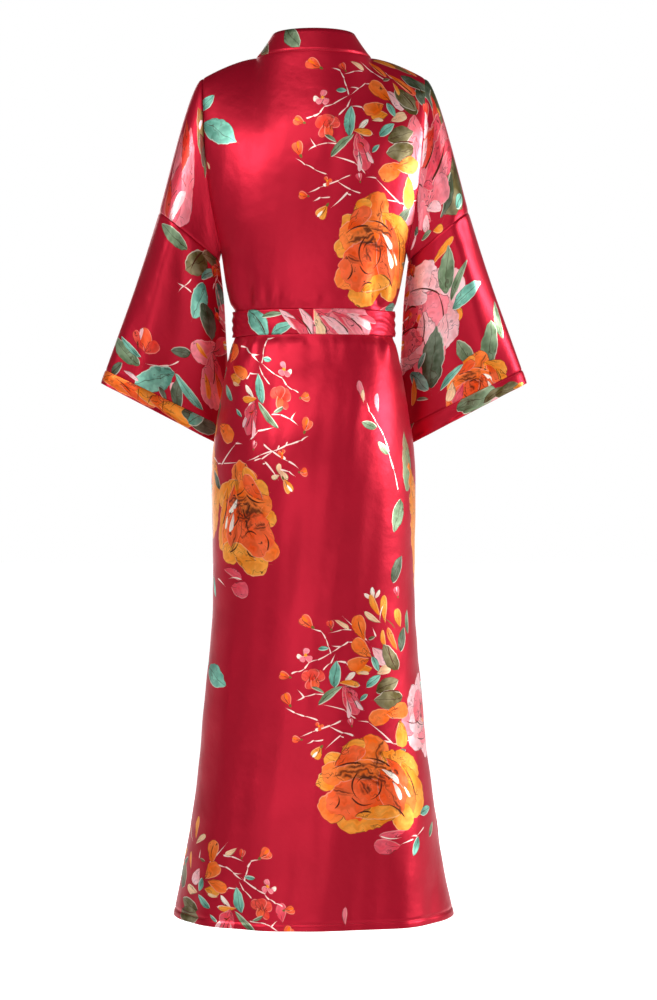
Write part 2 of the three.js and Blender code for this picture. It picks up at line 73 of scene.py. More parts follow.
sectionColumns = ("z", "side", "back", "front", "edge")
sections = [
    (0, 166, 62, -40, 85),
    (-35, 166, 73, -58, 81),
    (-70, 166, 84, -74, 75.5),
    (-110, 164, 94, -89, 67),
    (-178, 158, 99, -105, 46),
    (-240, 150, 97, -112, 20),
    (-297, 138, 91, -109, -6),
    (-345, 128.5, 84, -98, -28),
    (-370, 121, 80, -90, -39),
    (-380, 117.5, 76, -85, -44),
    (-420, 117.5, 76, -85, -57),
    (-430, 121.5, 82, -90, -59),
    (-460, 128.5, 92, -96, -62),
    (-489, 134, 103, -100, -66),
    (-540, 143, 117, -105, -70),
    (-588, 150, 125, -108, -74),
    (-640, 151, 125, -109, -77),
    (-715, 150.5, 119, -110, -80),
    (-828, 151, 113, -112, -85),
    (-903, 156, 112, -114, -88),
    (-978, 163, 114, -117, -91),
    (-1053, 170, 117, -120, -95),
    (-1128, 180, 122, -124, -99),
    (-1203, 193, 130, -130, -103),
    (-1282, 209, 140, -138, -108),
]
hemHeight = -1282

sleeveColumns = ("at", "outX", "outY", "outZ", "inX", "inY", "inZ", "depth")
sleeveRings = [
    (1, 232, -6, -232, 142, -8, -304, 45),
    (1.25, 251, -9, -292, 136, -22, -362, 41),
    (1.5, 272, -12, -355, 133, -42, -428, 37),
    (1.75, 293, -16, -413, 129, -66, -494, 34),
    (2, 313, -20, -468, 122, -88, -560, 31),
    (3, 319.5, -21, -487.5, 117, -97, -593, 29),
]
capBulge = 8
armpitStep = 2.4
teardrop = 0.42

# Folds: a ridge (+) or trough (-) from one point of a face to another, dying away towards its end.
# A row has the two points' x and z, then the width and the depth
folds = {
    "back": [
        (112, -384, 128, -262, 11, 6),
        (93, -384, 108, -250, 9, -4.5),
        (76, -384, 86, -285, 10, 4),
        (46, -384, 44, -335, 9, 2.5),
        (12, -384, 4, -345, 10, 2.2),
        (-30, -384, -36, -340, 9, 2.5),
        (-70, -384, -80, -290, 10, 3.5),
        (-90, -384, -100, -245, 9, -5),
        (-108, -384, -122, -265, 11, 6),
        (104, -416, 120, -560, 12, 4),
        (66, -416, 72, -500, 10, 3),
        (30, -416, 32, -470, 9, 2.5),
        (-8, -416, -10, -465, 10, 2.2),
        (-48, -416, -54, -495, 10, 3),
        (-84, -416, -92, -540, 11, 4),
        (-106, -416, -124, -580, 11, 4.5),
        (150, -1285, 122, -930, 26, 7),
        (62, -1285, 54, -980, 32, 5),
        (-48, -1285, -40, -1000, 34, -4),
        (-138, -1285, -112, -900, 28, 7),
    ],
    "front": [
        (104, -384, 116, -275, 11, 5),
        (66, -384, 92, -290, 10, 4),
        (-66, -384, -92, -290, 10, 4),
        (-104, -384, -116, -275, 11, 5),
        (98, -416, 116, -545, 12, 4),
        (48, -416, 74, -600, 12, 4),
        (-46, -416, -60, -560, 12, 3.5),
        (-98, -416, -116, -545, 12, 4),
        (140, -1285, 112, -930, 28, 7),
        (40, -1285, 36, -960, 32, 5),
        (-60, -1285, -52, -960, 30, 4),
        (-142, -1285, -114, -920, 28, 7),
    ],
}
# Small gathers, where the belt draws the cloth in
gathers = {
    "back": [
        (84, -380, 90, -338, 3.6, 2.2),
        (70, -380, 73, -325, 3.4, -2.2),
        (60, -380, 58, -330, 3.2, 2.0),
        (52, -380, 49, -345, 3.0, -1.8),
        (34, -380, 31, -350, 3.4, 1.4),
        (-4, -380, -8, -348, 4.0, 1.2),
        (-50, -380, -55, -345, 3.6, 1.6),
        (-84, -380, -90, -322, 3.4, 2.2),
        (-96, -380, -104, -330, 3.2, -2.2),
        (-103, -420, -112, -462, 3.4, 2.2),
        (-94, -420, -99, -470, 3.4, -2.0),
        (-72, -420, -76, -455, 3.6, 1.5),
        (-28, -420, -30, -450, 4.0, 1.2),
        (16, -420, 18, -446, 3.8, 1.2),
        (52, -420, 55, -456, 3.6, 1.5),
        (86, -420, 92, -470, 3.6, 2.0),
        (96, -420, 104, -466, 3.2, -2.0),
    ],
    "front": [
        (88, -380, 96, -335, 3.6, 2.2),
        (50, -380, 62, -330, 3.4, 2.0),
        (34, -380, 42, -345, 3.4, -1.8),
        (-40, -380, -50, -340, 3.4, 1.8),
        (-86, -380, -94, -330, 3.6, 2.2),
        (84, -420, 92, -470, 3.6, 2.0),
        (60, -420, 66, -460, 3.4, -1.6),
        (24, -420, 30, -455, 3.8, 1.6),
        (-30, -420, -34, -458, 3.8, 1.6),
        (-88, -420, -96, -466, 3.6, 2.0),
    ],
}
gatherDepth = 1.5
# The cloth's slow waves, broad and fine, calmer above the belt
drape = {"broad": 1.5, "broadSpan": 82, "fine": 0.6, "fineSpan": 37, "aboveBelt": 0.6}
waveSeeds = {"back": (3, 8), "front": (5, 9)}
# Folds that run along a sleeve, at an angle round it: 0 over the arm, 90 behind, 270 in front.
# A row has the angle, the width in degrees, the depth, and where along the sleeve it starts and stops
sleeveFolds = [
    (52, 13, 4, 1, 2.2),
    (84, 12, -4, 1, 2.6),
    (118, 14, 4.5, 1.05, 3),
    (148, 9, -2.5, 1.2, 3),
    (236, 13, 4, 1, 2.8),
    (274, 12, -4, 1, 2.6),
    (308, 13, 4, 1, 2.4),
]


def mix(a, b, t):
    return a + (b - a) * t


def smooth(t):
    t = np.clip(t, 0, 1)
    return t * t * (3 - 2 * t)


def curveThrough(rows, columns, column, at):  # a table's column at a key, on a smooth curve
    rows = sorted(rows)
    keys = np.array([row[0] for row in rows], float)
    values = np.array([row[columns.index(column)] for row in rows], float)
    ends = np.diff(values)[[0, -1]] / np.diff(keys)[[0, -1]]
    inner = (values[2:] - values[:-2]) / (keys[2:] - keys[:-2])
    slopes = np.concatenate(([ends[0]], inner, [ends[1]]))
    i = np.clip(np.searchsorted(keys, at) - 1, 0, len(keys) - 2)
    h = keys[i + 1] - keys[i]
    t = (at - keys[i]) / h
    start = (2 * t**3 - 3 * t**2 + 1) * values[i] + (t**3 - 2 * t**2 + t) * h * slopes[i]
    return start + (3 * t**2 - 2 * t**3) * values[i + 1] + (t**3 - t**2) * h * slopes[i + 1]


def section(column, z):
    return curveThrough(sections, sectionColumns, column, z)


def ripple(x, z, size, seed):  # a smooth uneven wave between about -1 and 1
    total = 0
    pick = random.Random(seed)
    for k in range(5):
        turn = pick.uniform(-0.5, 0.5) + (0 if k % 2 else 0.9)
        length = size * pick.uniform(0.7, 1.5)
        phase = pick.uniform(0, 6.28)
        total = total + np.sin((x * math.cos(turn) + z * math.sin(turn)) / length * 6.28 + phase)
    return total / 3


def foldAt(face, x, z):
    out = np.zeros_like(x)
    for fromX, fromZ, toX, toZ, width, depth in folds[face] + gathers[face]:
        along = (z - fromZ) / (toZ - fromZ)
        off = (x - mix(fromX, toX, along)) / (width * (1 + np.clip(along, 0, 1)))
        ridge = depth * np.exp(-off * off) * (1 - smooth(along)) * (gatherDepth if width < 5 else 1)
        out += np.where((along >= -0.05) & (along <= 1), ridge, 0)
    broadSeed, fineSeed = waveSeeds[face]
    wave = drape["broad"] * ripple(x, z * 0.4, drape["broadSpan"], broadSeed)
    wave += drape["fine"] * ripple(x, z * 0.5, drape["fineSpan"], fineSeed)
    out += wave * smooth((-z - 20) / 90) * np.where(z > beltSize["z"], drape["aboveBelt"], 1)
    return out * smooth((np.abs(z - beltSize["z"]) - beltSize["width"] / 2) / beltSize["ease"])


def armhole(face, angle):  # a point of its seam: 0 at the shoulder, half a turn at the underarm
    down = (1 - math.cos(angle)) / 2
    reach = armholeDepth * abs(math.sin(angle)) ** 0.8
    inset = chestInset * math.sin(angle) ** 2 if face == "front" else 0
    x = mix(underarm[0], shoulderTip[0], 1 - down**2.2) - inset
    y = mix(shoulderTip[1], underarm[1], down) + (-reach if face == "front" else reach)
    return (x, y, mix(shoulderTip[2], underarm[2], down))


def bodyRow(face, level):  # levels run down the armhole, then there is one for each row's spacing
    if level <= armholeRows:
        edge = armhole(face, math.pi * level / armholeRows)
        middleZ = edge[2] - shoulderTip[2] * (1 - smooth(level / 4))
        span = mix(yokeSpan, sideSpan, (level / armholeRows) ** 2)
        return edge, middleZ, section(face, middleZ), span
    z = underarm[2] - (level - armholeRows) * rowSpacing
    forward = underarm[1] * (1 - smooth((underarm[2] - z) / 60))
    return (section("side", z), forward, z), z, section(face, z), sideSpan


def levelAt(z):
    return armholeRows + (underarm[2] - z) / rowSpacing


def outwardShare(x):  # 0 at the neck and 1 at the shoulder's tip
    return np.clip((x - neckPoint[0]) / (shoulderTip[0] - neckPoint[0]), 0, 1)


def arcPoints(row, share):  # points across the body, on one row
    edge, middleZ, middleY, span = row
    turn = share * span
    x = edge[0] * np.sin(turn) / math.sin(span)
    rise = (np.cos(turn) - math.cos(span)) / (1 - math.cos(span))
    fall = outwardShare(x) ** 1.5 if edge[2] < middleZ else np.zeros_like(x)
    return np.stack([x, mix(edge[1], middleY, rise), mix(middleZ, edge[2], fall)], -1)


def topEdge(share):  # the neckline and then the shoulder seam
    turn = math.pi / 2 * np.minimum(share / neckShare, 1)
    neck = [neckPoint[0] * np.sin(turn), mix(neckPoint[1], neckBackDepth, np.cos(turn)), 0 * turn]
    x = shoulderTip[0] * np.sin(share * yokeSpan) / math.sin(yokeSpan)
    out = outwardShare(x)
    ridge = [x, mix(neckPoint[1], shoulderTip[1], out), shoulderTip[2] * out**1.5]
    onNeck = (share < neckShare)[..., None]
    return np.where(onNeck, np.stack(neck, -1), np.stack(ridge, -1))


def bodyPoints(face, share, level):  # share runs from -1 at the right side to 1 at the left
    away = np.abs(share)
    points = arcPoints(bodyRow(face, level), away)
    if level < yokeRows:
        shaped = np.maximum(away, neckShare) if face == "front" else away
        pull = topEdge(shaped) - arcPoints(bodyRow(face, 0), shaped)
        points += pull * (1 - level / yokeRows) ** 1.6
    points[..., 0] *= np.where(share < 0, -1, 1)
    return points


def folded(face, points):  # the folds push the cloth outwards
    x, y, z = points[..., 0], points[..., 1], points[..., 2]
    side = x / section("side", z) ** 2
    deep = y / section(face, z) ** 2
    size = np.hypot(side, deep) + 1e-12
    fold = foldAt(face, x, z)
    return points + np.stack([side / size * fold, deep / size * fold, 0 * fold], -1)


def relaxed(points, rounds=36, ramp=30):  # evens out the kinks between rows, but not at the seams
    flat = flatCut(points, points.shape[1] // 2, 1)
    rim = np.minimum(np.abs(flat[..., 0] - flat[:, :1, 0]), np.abs(flat[..., 0] - flat[:, -1:, 0]))
    rim = np.minimum(rim, np.minimum(np.abs(flat[..., 1]), np.abs(flat[..., 1] - flat[-1:, :, 1])))
    pull = 0.5 * smooth(rim / ramp)[..., None]
    for _ in range(rounds):
        near = (points[:-2, 1:-1] + points[2:, 1:-1] + points[1:-1, :-2] + points[1:-1, 2:]) / 4
        points[1:-1, 1:-1] += pull[1:-1, 1:-1] * (near - points[1:-1, 1:-1])
    return points


def frontEdgeShare(level):  # where a front meets the neckband
    edge, middleZ, _, span = bodyRow("front", level)
    return math.asin(section("edge", middleZ) * math.sin(span) / edge[0]) / span


def standing(turn):  # the way the neckband stands at an angle round the neck
    lean = mix(bandSize["leanBack"], bandSize["leanSide"], (abs(turn) / (math.pi / 2)) ** 2)
    return np.array([-math.sin(turn) * lean, -math.cos(turn) * lean, math.sqrt(1 - lean * lean)])


def sleeveGather(angle, at):  # short soft pleats just under the seam above the elbow
    wave = np.sin(angle * 13 + 2.2 * np.sin(angle * 3)) * (0.55 + 0.45 * np.sin(angle * 2 + 0.6))
    below = at - 1
    return sleevePiece["gather"] * wave * np.exp(-below / sleevePiece["gatherReach"]) * smooth(below / 0.05)


def sleeveSection(angle, at, seed=4):  # a ring round the arm, drop-shaped, with the folds along it
    def ring(column):
        return curveThrough(sleeveRings, sleeveColumns, column, at)

    out = np.array([ring("outX"), ring("outY"), ring("outZ")])
    into = np.array([ring("inX"), ring("inY"), ring("inZ")])
    half = (out - into) / 2
    axis = half / np.linalg.norm(half)
    behind = np.array([0, 1, 0]) - axis * axis[1]
    behind /= np.linalg.norm(behind)
    reach = ring("depth") * np.sin(angle) * (1 + teardrop * np.cos(angle))
    bump = sleeveGather(angle, at) if at > 1 else 0
    for place, width, depth, start, stop in sleeveFolds:
        off = (np.degrees(angle) - place) / width
        rise = smooth((at - start) / 0.25) * smooth((stop + 0.6 - at) / 0.6)
        bump = bump + depth * np.exp(-off * off) * rise
    uneven = sleevePiece["uneven"] * ripple(angle * 60, at * 90 + 0 * angle, sleevePiece["unevenSpan"], seed)
    bump = bump + uneven * smooth((at - 0.5) / 0.5)
    reach = reach + bump * np.sign(np.sin(angle)) * smooth(np.abs(np.sin(angle)) * 4)
    return (out + into) / 2 + np.outer(np.cos(angle), half) + np.outer(reach, behind)


def sleevePoints(side, angle, at):  # 0 at the armhole, 1 at the seam over the elbow, 2 and 3 at the cuff
    if at >= 1:
        points = sleeveSection(angle, at)
    else:
        back = np.array([armhole("back", a) for a in angle])
        front = np.array([armhole("front", 2 * math.pi - a) for a in angle])
        seam = np.where((angle > math.pi)[:, None], front, back)
        swell = capBulge * math.sin(math.pi * math.sqrt(at)) * np.clip(np.cos(angle), 0, 1)
        aside = armpitStep * np.maximum(0, -np.cos(angle)) ** 20 * (1 - at)
        points = mix(seam, sleeveSection(angle, 1), at)
        points += np.stack([0.94 * swell + aside, 0 * swell, 0.34 * swell], -1)
    return points * np.array([side, 1, 1])


# Grids of points, their flat cut and their outward directions

def spread(first, last, step, rim=(1.2, 2.6, 4.2)):  # even steps with closer ones at both ends
    length = abs(last - first)
    inner = np.linspace(0, 1, max(2, round(length / step)) + 1)
    near = np.array([r / length for r in rim])
    middle = inner[(inner > near[-1] * 1.2) & (inner < 1 - near[-1] * 1.2)]
    share = np.concatenate(([0], near, middle, 1 - near[::-1], [1]))
    return first + (last - first) * share


def outward(points, sign):  # the outward direction at each point of a grid
    across = np.gradient(points, axis=1)
    down = np.gradient(points, axis=0)
    normals = np.cross(across, down) * sign
    return normals / (np.linalg.norm(normals, axis=2, keepdims=True) + 1e-12)


def flatCut(points, zeroColumn, sign):  # widths measured along each row, lengths down a column
    steps = np.linalg.norm(np.diff(points, axis=1), axis=2)
    across = np.concatenate((np.zeros((len(points), 1)), np.cumsum(steps, 1)), 1)
    across = (across - across[:, zeroColumn : zeroColumn + 1]) * sign
    column = points[:, zeroColumn]
    down = np.concatenate(([0], np.cumsum(np.linalg.norm(np.diff(column, axis=0), axis=1))))
    return np.stack([across, np.broadcast_to(-down[:, None], across.shape)], -1)


def rollEdges(points, normals, flat, sides):  # the cloth dips into a seam
    gaps = {
        "start": np.abs(flat[:, :, 0] - flat[:, :1, 0]),
        "end": np.abs(flat[:, :, 0] - flat[:, -1:, 0]),
        "top": np.abs(flat[:, :, 1] - flat[:1, :, 1]),
        "foot": np.abs(flat[:, :, 1] - flat[-1:, :, 1]),
    }
    for side in sides:
        dip = seam["dip"] * np.exp(-((gaps[side] / seam["reach"]) ** 2))
        points = points - normals * dip[..., None]
    return points


def turnedHem(points, normals, flat):  # a fold of cloth at the foot, and its stitch line
    gap = np.abs(flat[:, :, 1] - flat[-1:, :, 1]) - hem["width"]
    puff = hem["puff"] * smooth(-gap / 2)
    dip = hem["stitchDip"] * np.exp(-((gap / hem["stitchReach"]) ** 2))
    return points + normals * (puff - dip)[..., None]


def lineAbove(points, flat, gap):  # the line across a grid that lies a gap above its foot
    height = flat[:, 0, 1] - flat[-1, 0, 1]
    i = np.nonzero(height >= gap)[0][-1]
    return mix(points[i], points[i + 1], (height[i] - gap) / (height[i] - height[i + 1]))


# Print: each motif is a few strokes of a brush, laid out as it shows from behind or in front

def tone(red, green, blue):  # from the colours of a screen to light
    return tuple(((c + 0.055) / 1.055) ** 2.4 if c > 0.04045 else c / 12.92 for c in (red, green, blue))


tints = {
    "orange": tone(0.99, 0.46, 0.05),
    "amber": tone(0.97, 0.60, 0.11),
    "deepOrange": tone(0.97, 0.35, 0.04),
    "brown": tone(0.30, 0.12, 0.04),
    "red": tone(0.90, 0.20, 0.13),
    "scarlet": tone(0.96, 0.32, 0.10),
    "pink": tone(0.96, 0.50, 0.56),
    "rosePink": tone(0.91, 0.28, 0.38),
    "blush": tone(0.98, 0.77, 0.79),
    "cream": tone(1.0, 0.96, 0.90),
    "peach": tone(0.97, 0.82, 0.64),
    "teal": tone(0.45, 0.80, 0.71),
    "twig": tone(1.0, 0.88, 0.85),
    "sage": tone(0.47, 0.60, 0.44),
    "olive": tone(0.43, 0.38, 0.16),
    "forest": tone(0.23, 0.34, 0.23),
}

# How a motif is painted, in halves of its size: strokes from the back to the front of it.
# A row has the tint, how far right and up, the turn in degrees, the length, the width, the tip and the bend
twigTip, ink, dry = 0.22, 0.30, 0.33  # tips of a twig, of a pen line and of a dry brush
roseStrokes = [
    ("orange", -0.16, 0.60, -12, 0.52, 0.32, 0.50, 0.05),
    ("amber", -0.44, 0.68, 24, 0.26, 0.13, 0.50, 0.03),
    ("amber", 0.56, 0.34, -30, 0.52, 0.26, 0.45, 0.04),
    ("amber", -0.60, 0.42, 172, 0.42, 0.17, 0.45, 0.03),
    ("amber", -0.84, 0.06, 200, 0.30, 0.18, 0.50, 0),
    ("orange", -0.60, 0.22, 184, 0.46, 0.22, 0.45, 0),
    ("amber", 0.84, -0.12, -66, 0.56, 0.30, 0.45, 0.04),
    ("orange", 0.62, -0.12, -60, 0.54, 0.24, 0.50, 0),
    ("amber", 0.58, -0.58, -40, 0.38, 0.24, 0.45, 0),
    ("amber", -0.10, -0.68, 184, 0.62, 0.25, 0.42, 0),
    ("orange", -0.72, -0.40, -140, 0.36, 0.26, 0.42, 0),
    ("orange", -0.04, 0.20, 175, 0.76, 0.26, 0.55, 0),
    ("deepOrange", -0.20, -0.28, -172, 0.78, 0.42, 0.60, 0),
    ("deepOrange", 0.36, -0.16, -60, 0.46, 0.26, 0.55, 0),
    ("amber", 0.10, -0.60, 8, 0.46, 0.13, 0.50, 0.03),
    ("deepOrange", -0.50, 0.50, 30, 0.34, 0.16, 0.55, 0.03),
    ("deepOrange", 0.50, 0.20, -50, 0.40, 0.12, 0.55, 0.04),
    ("brown", -0.46, 0.16, 8, 0.42, 0.15, dry, 0.05),
    ("brown", 0.10, 0.50, 80, 0.34, 0.09, dry, 0.03),
    ("brown", 0.44, -0.34, -60, 0.30, 0.08, dry, 0.03),
    ("brown", -0.56, -0.16, 170, 0.26, 0.07, dry, 0.03),
    ("brown", 0.12, 0.28, -12, 0.44, 0.10, dry, 0.06),
    ("brown", -0.10, 0.06, -6, 0.38, 0.11, dry, 0.05),
    ("brown", -0.20, -0.06, -50, 0.17, 0.11, dry, 0),
    ("brown", -0.32, -0.06, 95, 0.26, 0.015, ink, 0.12),
    ("brown", -0.20, -0.32, 170, 0.24, 0.014, ink, 0.10),
    ("brown", 0.04, -0.14, 60, 0.22, 0.014, ink, -0.10),
    ("brown", -0.20, 0.04, 20, 0.17, 0.015, ink, 0.08),
    ("brown", 0.32, -0.02, -50, 0.26, 0.014, ink, 0.10),
    ("brown", -0.74, -0.36, -100, 0.14, 0.014, ink, 0.06),
    ("brown", -0.20, -0.60, 14, 0.18, 0.014, ink, 0.05),
    ("brown", -0.56, 0.32, 10, 0.32, 0.015, ink, 0.06),
    ("brown", 0.06, 0.40, -14, 0.32, 0.015, ink, 0.06),
    ("brown", 0.78, 0.08, -60, 0.32, 0.013, ink, 0.05),
    ("brown", 0.46, -0.52, -30, 0.24, 0.013, ink, 0.05),
    ("cream", 0.36, 0.14, -35, 0.22, 0.050, 0.40, 0.03),
    ("cream", 0.50, -0.14, -60, 0.20, 0.050, 0.40, 0.02),
    ("cream", 0.74, -0.16, -55, 0.13, 0.024, 0.40, 0),
]
peonyStrokes = [
    ("blush", -0.25, 0.62, 10, 0.62, 0.36, 0.45, 0.04),
    ("blush", 0.50, 0.50, -40, 0.52, 0.38, 0.45, 0.04),
    ("blush", 0.72, -0.08, -84, 0.50, 0.32, 0.45, 0.04),
    ("pink", 0.46, -0.55, -60, 0.46, 0.34, 0.45, 0),
    ("blush", -0.10, -0.76, -170, 0.50, 0.28, 0.45, 0),
    ("blush", -0.66, -0.40, -130, 0.46, 0.34, 0.45, 0),
    ("pink", -0.70, 0.24, 110, 0.46, 0.34, 0.45, 0),
    ("pink", 0.26, 0.20, -30, 0.50, 0.32, 0.45, 0),
    ("blush", 0.34, -0.24, -70, 0.44, 0.26, 0.45, 0),
    ("pink", -0.10, -0.42, -170, 0.48, 0.28, 0.45, 0),
    ("rosePink", -0.28, 0.04, 100, 0.36, 0.34, 0.50, 0),
    ("blush", -0.20, 0.34, 5, 0.40, 0.14, 0.50, 0.05),
    ("red", -0.30, -0.02, 80, 0.20, 0.15, dry, 0),
    ("brown", 0.02, 0.46, 0, 0.44, 0.012, ink, 0.10),
    ("brown", 0.54, 0.16, -60, 0.40, 0.012, ink, 0.08),
    ("brown", 0.20, -0.08, -70, 0.36, 0.012, ink, 0.08),
    ("brown", -0.04, -0.24, -160, 0.34, 0.012, ink, -0.08),
    ("brown", -0.50, 0.02, 100, 0.30, 0.012, ink, 0.08),
    ("brown", -0.22, 0.14, 30, 0.18, 0.016, ink, 0.08),
    ("brown", -0.36, -0.16, -60, 0.16, 0.014, ink, 0.05),
    ("brown", 0.38, -0.52, -60, 0.30, 0.012, ink, 0.06),
    ("amber", -0.42, 0.46, 30, 0.08, 0.050, 0.50, 0),
    ("amber", 0.10, 0.02, 80, 0.08, 0.040, 0.50, 0),
]
budStrokes = [
    ("own", 0.05, 0.16, 12, 0.80, 0.40, 0.42, 0),
    ("own", 0.05, -0.18, -10, 0.78, 0.38, 0.42, 0),
    ("light", 0.40, -0.10, -6, 0.42, 0.15, 0.50, 0),
    ("olive", -0.80, 0.00, 0, 0.22, 0.15, 0.50, 0),
    ("brown", -0.20, 0.06, 8, 0.36, 0.030, ink, 0.06),
]
poppyStrokes = [
    ("own", -0.40, 0.10, 160, 0.60, 0.44, 0.45, 0),
    ("own", 0.40, 0.12, 20, 0.58, 0.44, 0.45, 0),
    ("own", -0.25, -0.42, -110, 0.54, 0.32, 0.45, 0),
    ("light", 0.14, -0.34, -80, 0.60, 0.36, 0.45, 0),
    ("own", 0.00, 0.25, 90, 0.50, 0.50, 0.45, 0),
    ("brown", 0.20, 0.58, -10, 0.40, 0.13, dry, 0.05),
    ("brown", 0.12, 0.05, -70, 0.42, 0.022, ink, 0.08),
    ("brown", -0.22, 0.02, -105, 0.38, 0.022, ink, -0.08),
]
trumpetStrokes = [
    ("own", 0.00, 0.00, 0, 0.95, 0.46, 0.55, 0),
    ("light", 0.38, -0.34, -14, 0.50, 0.13, 0.50, 0.06),
    ("light", 0.34, 0.32, 12, 0.50, 0.12, 0.50, -0.06),
    ("own", -0.30, 0.12, 10, 0.52, 0.34, 0.50, 0),
    ("red", -0.34, 0.00, 30, 0.26, 0.20, dry, 0),
    ("brown", -0.34, 0.06, 40, 0.22, 0.030, ink, 0.10),
    ("brown", 0.12, 0.12, 5, 0.50, 0.020, ink, 0.04),
    ("brown", 0.12, -0.16, -8, 0.50, 0.020, ink, -0.04),
]
blossomStrokes = [
    ("cream", -0.66, 0.06, 170, 0.34, 0.28, 0.42, 0),
    ("own", 0.16, 0.44, 60, 0.48, 0.36, 0.42, 0),
    ("own", 0.30, -0.30, -40, 0.50, 0.34, 0.42, 0),
    ("own", -0.24, -0.24, -150, 0.46, 0.32, 0.42, 0),
    ("amber", 0.06, 0.08, 20, 0.24, 0.18, 0.50, 0),
    ("brown", 0.24, 0.12, 50, 0.16, 0.030, ink, 0.06),
]
sprayStrokes = [
    ("own", 0.40, 0.52, 52, 0.54, 0.20, 0.60, 0.05),
    ("own", 0.62, 0.02, 2, 0.58, 0.22, 0.62, 0.04),
    ("light", 0.44, -0.44, -44, 0.50, 0.20, 0.60, -0.05),
    ("brown", 0.30, 0.20, 35, 0.22, 0.025, ink, 0.04),
    ("brown", 0.30, -0.12, -20, 0.24, 0.025, ink, 0),
]
paintings = {
    "rose": roseStrokes,
    "peony": peonyStrokes,
    "bud": budStrokes,
    "poppy": poppyStrokes,
    "trumpet": trumpetStrokes,
    "blossom": blossomStrokes,
    "spray": sprayStrokes,
    "leaf": [("own", 0, 0, 0, 1.00, 0.44, 0.82, 0.06)],
    "broadLeaf": [("own", 0, 0, 0, 1.00, 0.55, 0.80, 0.06)],
    "slimLeaf": [("own", 0, 0, 0, 1.00, 0.25, 0.84, 0.10)],
    "petal": [("own", 0, 0, 0, 1.00, 0.52, 0.45, 0.06)],
    "slimPetal": [("own", 0, 0, 0, 1.00, 0.28, 0.50, 0.10)],
    "line": [("own", 0, 0, 0, 1.00, 0.045, ink, 0.14)],
}
lighter = {"amber": "cream", "orange": "amber", "scarlet": "orange", "red": "scarlet", "rosePink": "blush"}

# One bouquet, laid out round its big rose. A row has the motif, how far it lies to the right of the rose and
# above it, its size, its turn and its tint
bouquetCrown = [
    ("slimLeaf", 59, 244, 38, 92, "sage"),
    ("slimPetal", 11, 268, 36, 115, "amber"),
    ("slimPetal", 25, 263, 40, 92, "amber"),
    ("slimPetal", 7, 250, 31, 152, "peach"),
    ("petal", 45, 249, 28, 112, "amber"),
    ("line", 31, 242, 28, -34, "olive"),
    ("line", 20, 256, 24, 74, "cream"),
    ("leaf", 51, 217, 38, 80, "forest"),
    ("slimPetal", 37, 217, 38, 118, "orange"),
    ("slimPetal", 24, 216, 28, 100, "amber"),
    ("line", 34, 220, 22, 118, "brown"),
    ("petal", -11, 234, 38, 108, "orange"),
    ("line", -10, 232, 24, 110, "brown"),
    ("leaf", 6, 219, 12, 20, "olive"),
    ("slimPetal", -39, 239, 24, -30, "peach"),
    ("bud", -56, 238, 17, 100, "red"),
    ("bud", -91, 242, 28, 140, "scarlet"),
]
bouquet = [
    ("leaf", 46, 42, 34, 40, "forest"),
    ("leaf", -66, 203, 16, 5, "teal"),
    ("blossom", -94, 192, 25, 10, "pink"),
    ("petal", -8, 203, 38, 140, "orange"),
    ("petal", -6, 173, 28, 185, "amber"),
    ("petal", -14, 182, 34, 200, "orange"),
    ("slimPetal", -7, 166, 18, 2, "peach"),
    ("line", 3, 194, 20, -44, "brown"),
    ("line", 2, 186, 16, 30, "brown"),
    ("petal", 17, 192, 34, -48, "blush"),
    ("petal", 24, 170, 26, 20, "peach"),
    ("leaf", 11, 180, 24, -62, "teal"),
    ("broadLeaf", 35, 190, 46, 125, "olive"),
    ("line", 36, 190, 34, 118, "brown"),
    ("broadLeaf", 30, 147, 44, 20, "olive"),
    ("broadLeaf", 32, 128, 50, 186, "olive"),
    ("line", 32, 137, 40, 6, "brown"),
    ("bud", -124, 162, 20, 165, "scarlet"),
    ("poppy", -82, 159, 35, 0, "red"),
    ("leaf", -48, 165, 38, 84, "teal"),
    ("slimLeaf", -75, 141, 20, -25, "sage"),
    ("slimLeaf", -56, 133, 44, 40, "sage"),
    ("spray", -36, 150, 40, -6, "cream"),
    ("slimPetal", -28, 150, 30, -10, "amber"),
    ("leaf", 8, 154, 29, 36, "teal"),
    ("trumpet", -26, 126, 52, -65, "rosePink"),
    ("leaf", -6, 130, 15, 40, "teal"),
    ("bud", -121, 126, 24, 118, "scarlet"),
    ("bud", -26, 92, 14, 110, "rosePink"),
    ("blossom", -73, 86, 15, 60, "scarlet"),
    ("bud", -106, 67, 17, 175, "scarlet"),
    ("bud", -75, 48, 25, -125, "amber"),
    ("petal", 22, 103, 44, 200, "orange"),
    ("petal", 44, 108, 42, 8, "orange"),
    ("petal", 49, 76, 40, -84, "amber"),
    ("line", 43, 86, 24, 60, "brown"),
    ("line", 38, 110, 20, 20, "brown"),
    ("rose", 8, 1, 150, 0, "orange"),
    ("slimPetal", 38, -74, 42, 190, "rosePink"),
    ("petal", 30, -93, 40, 180, "rosePink"),
    ("line", 34, -80, 28, 176, "cream"),
    ("leaf", 72, -93, 30, -105, "teal"),
    ("leaf", 94, -68, 26, 75, "sage"),
    ("leaf", 86, -40, 30, 30, "teal"),
]
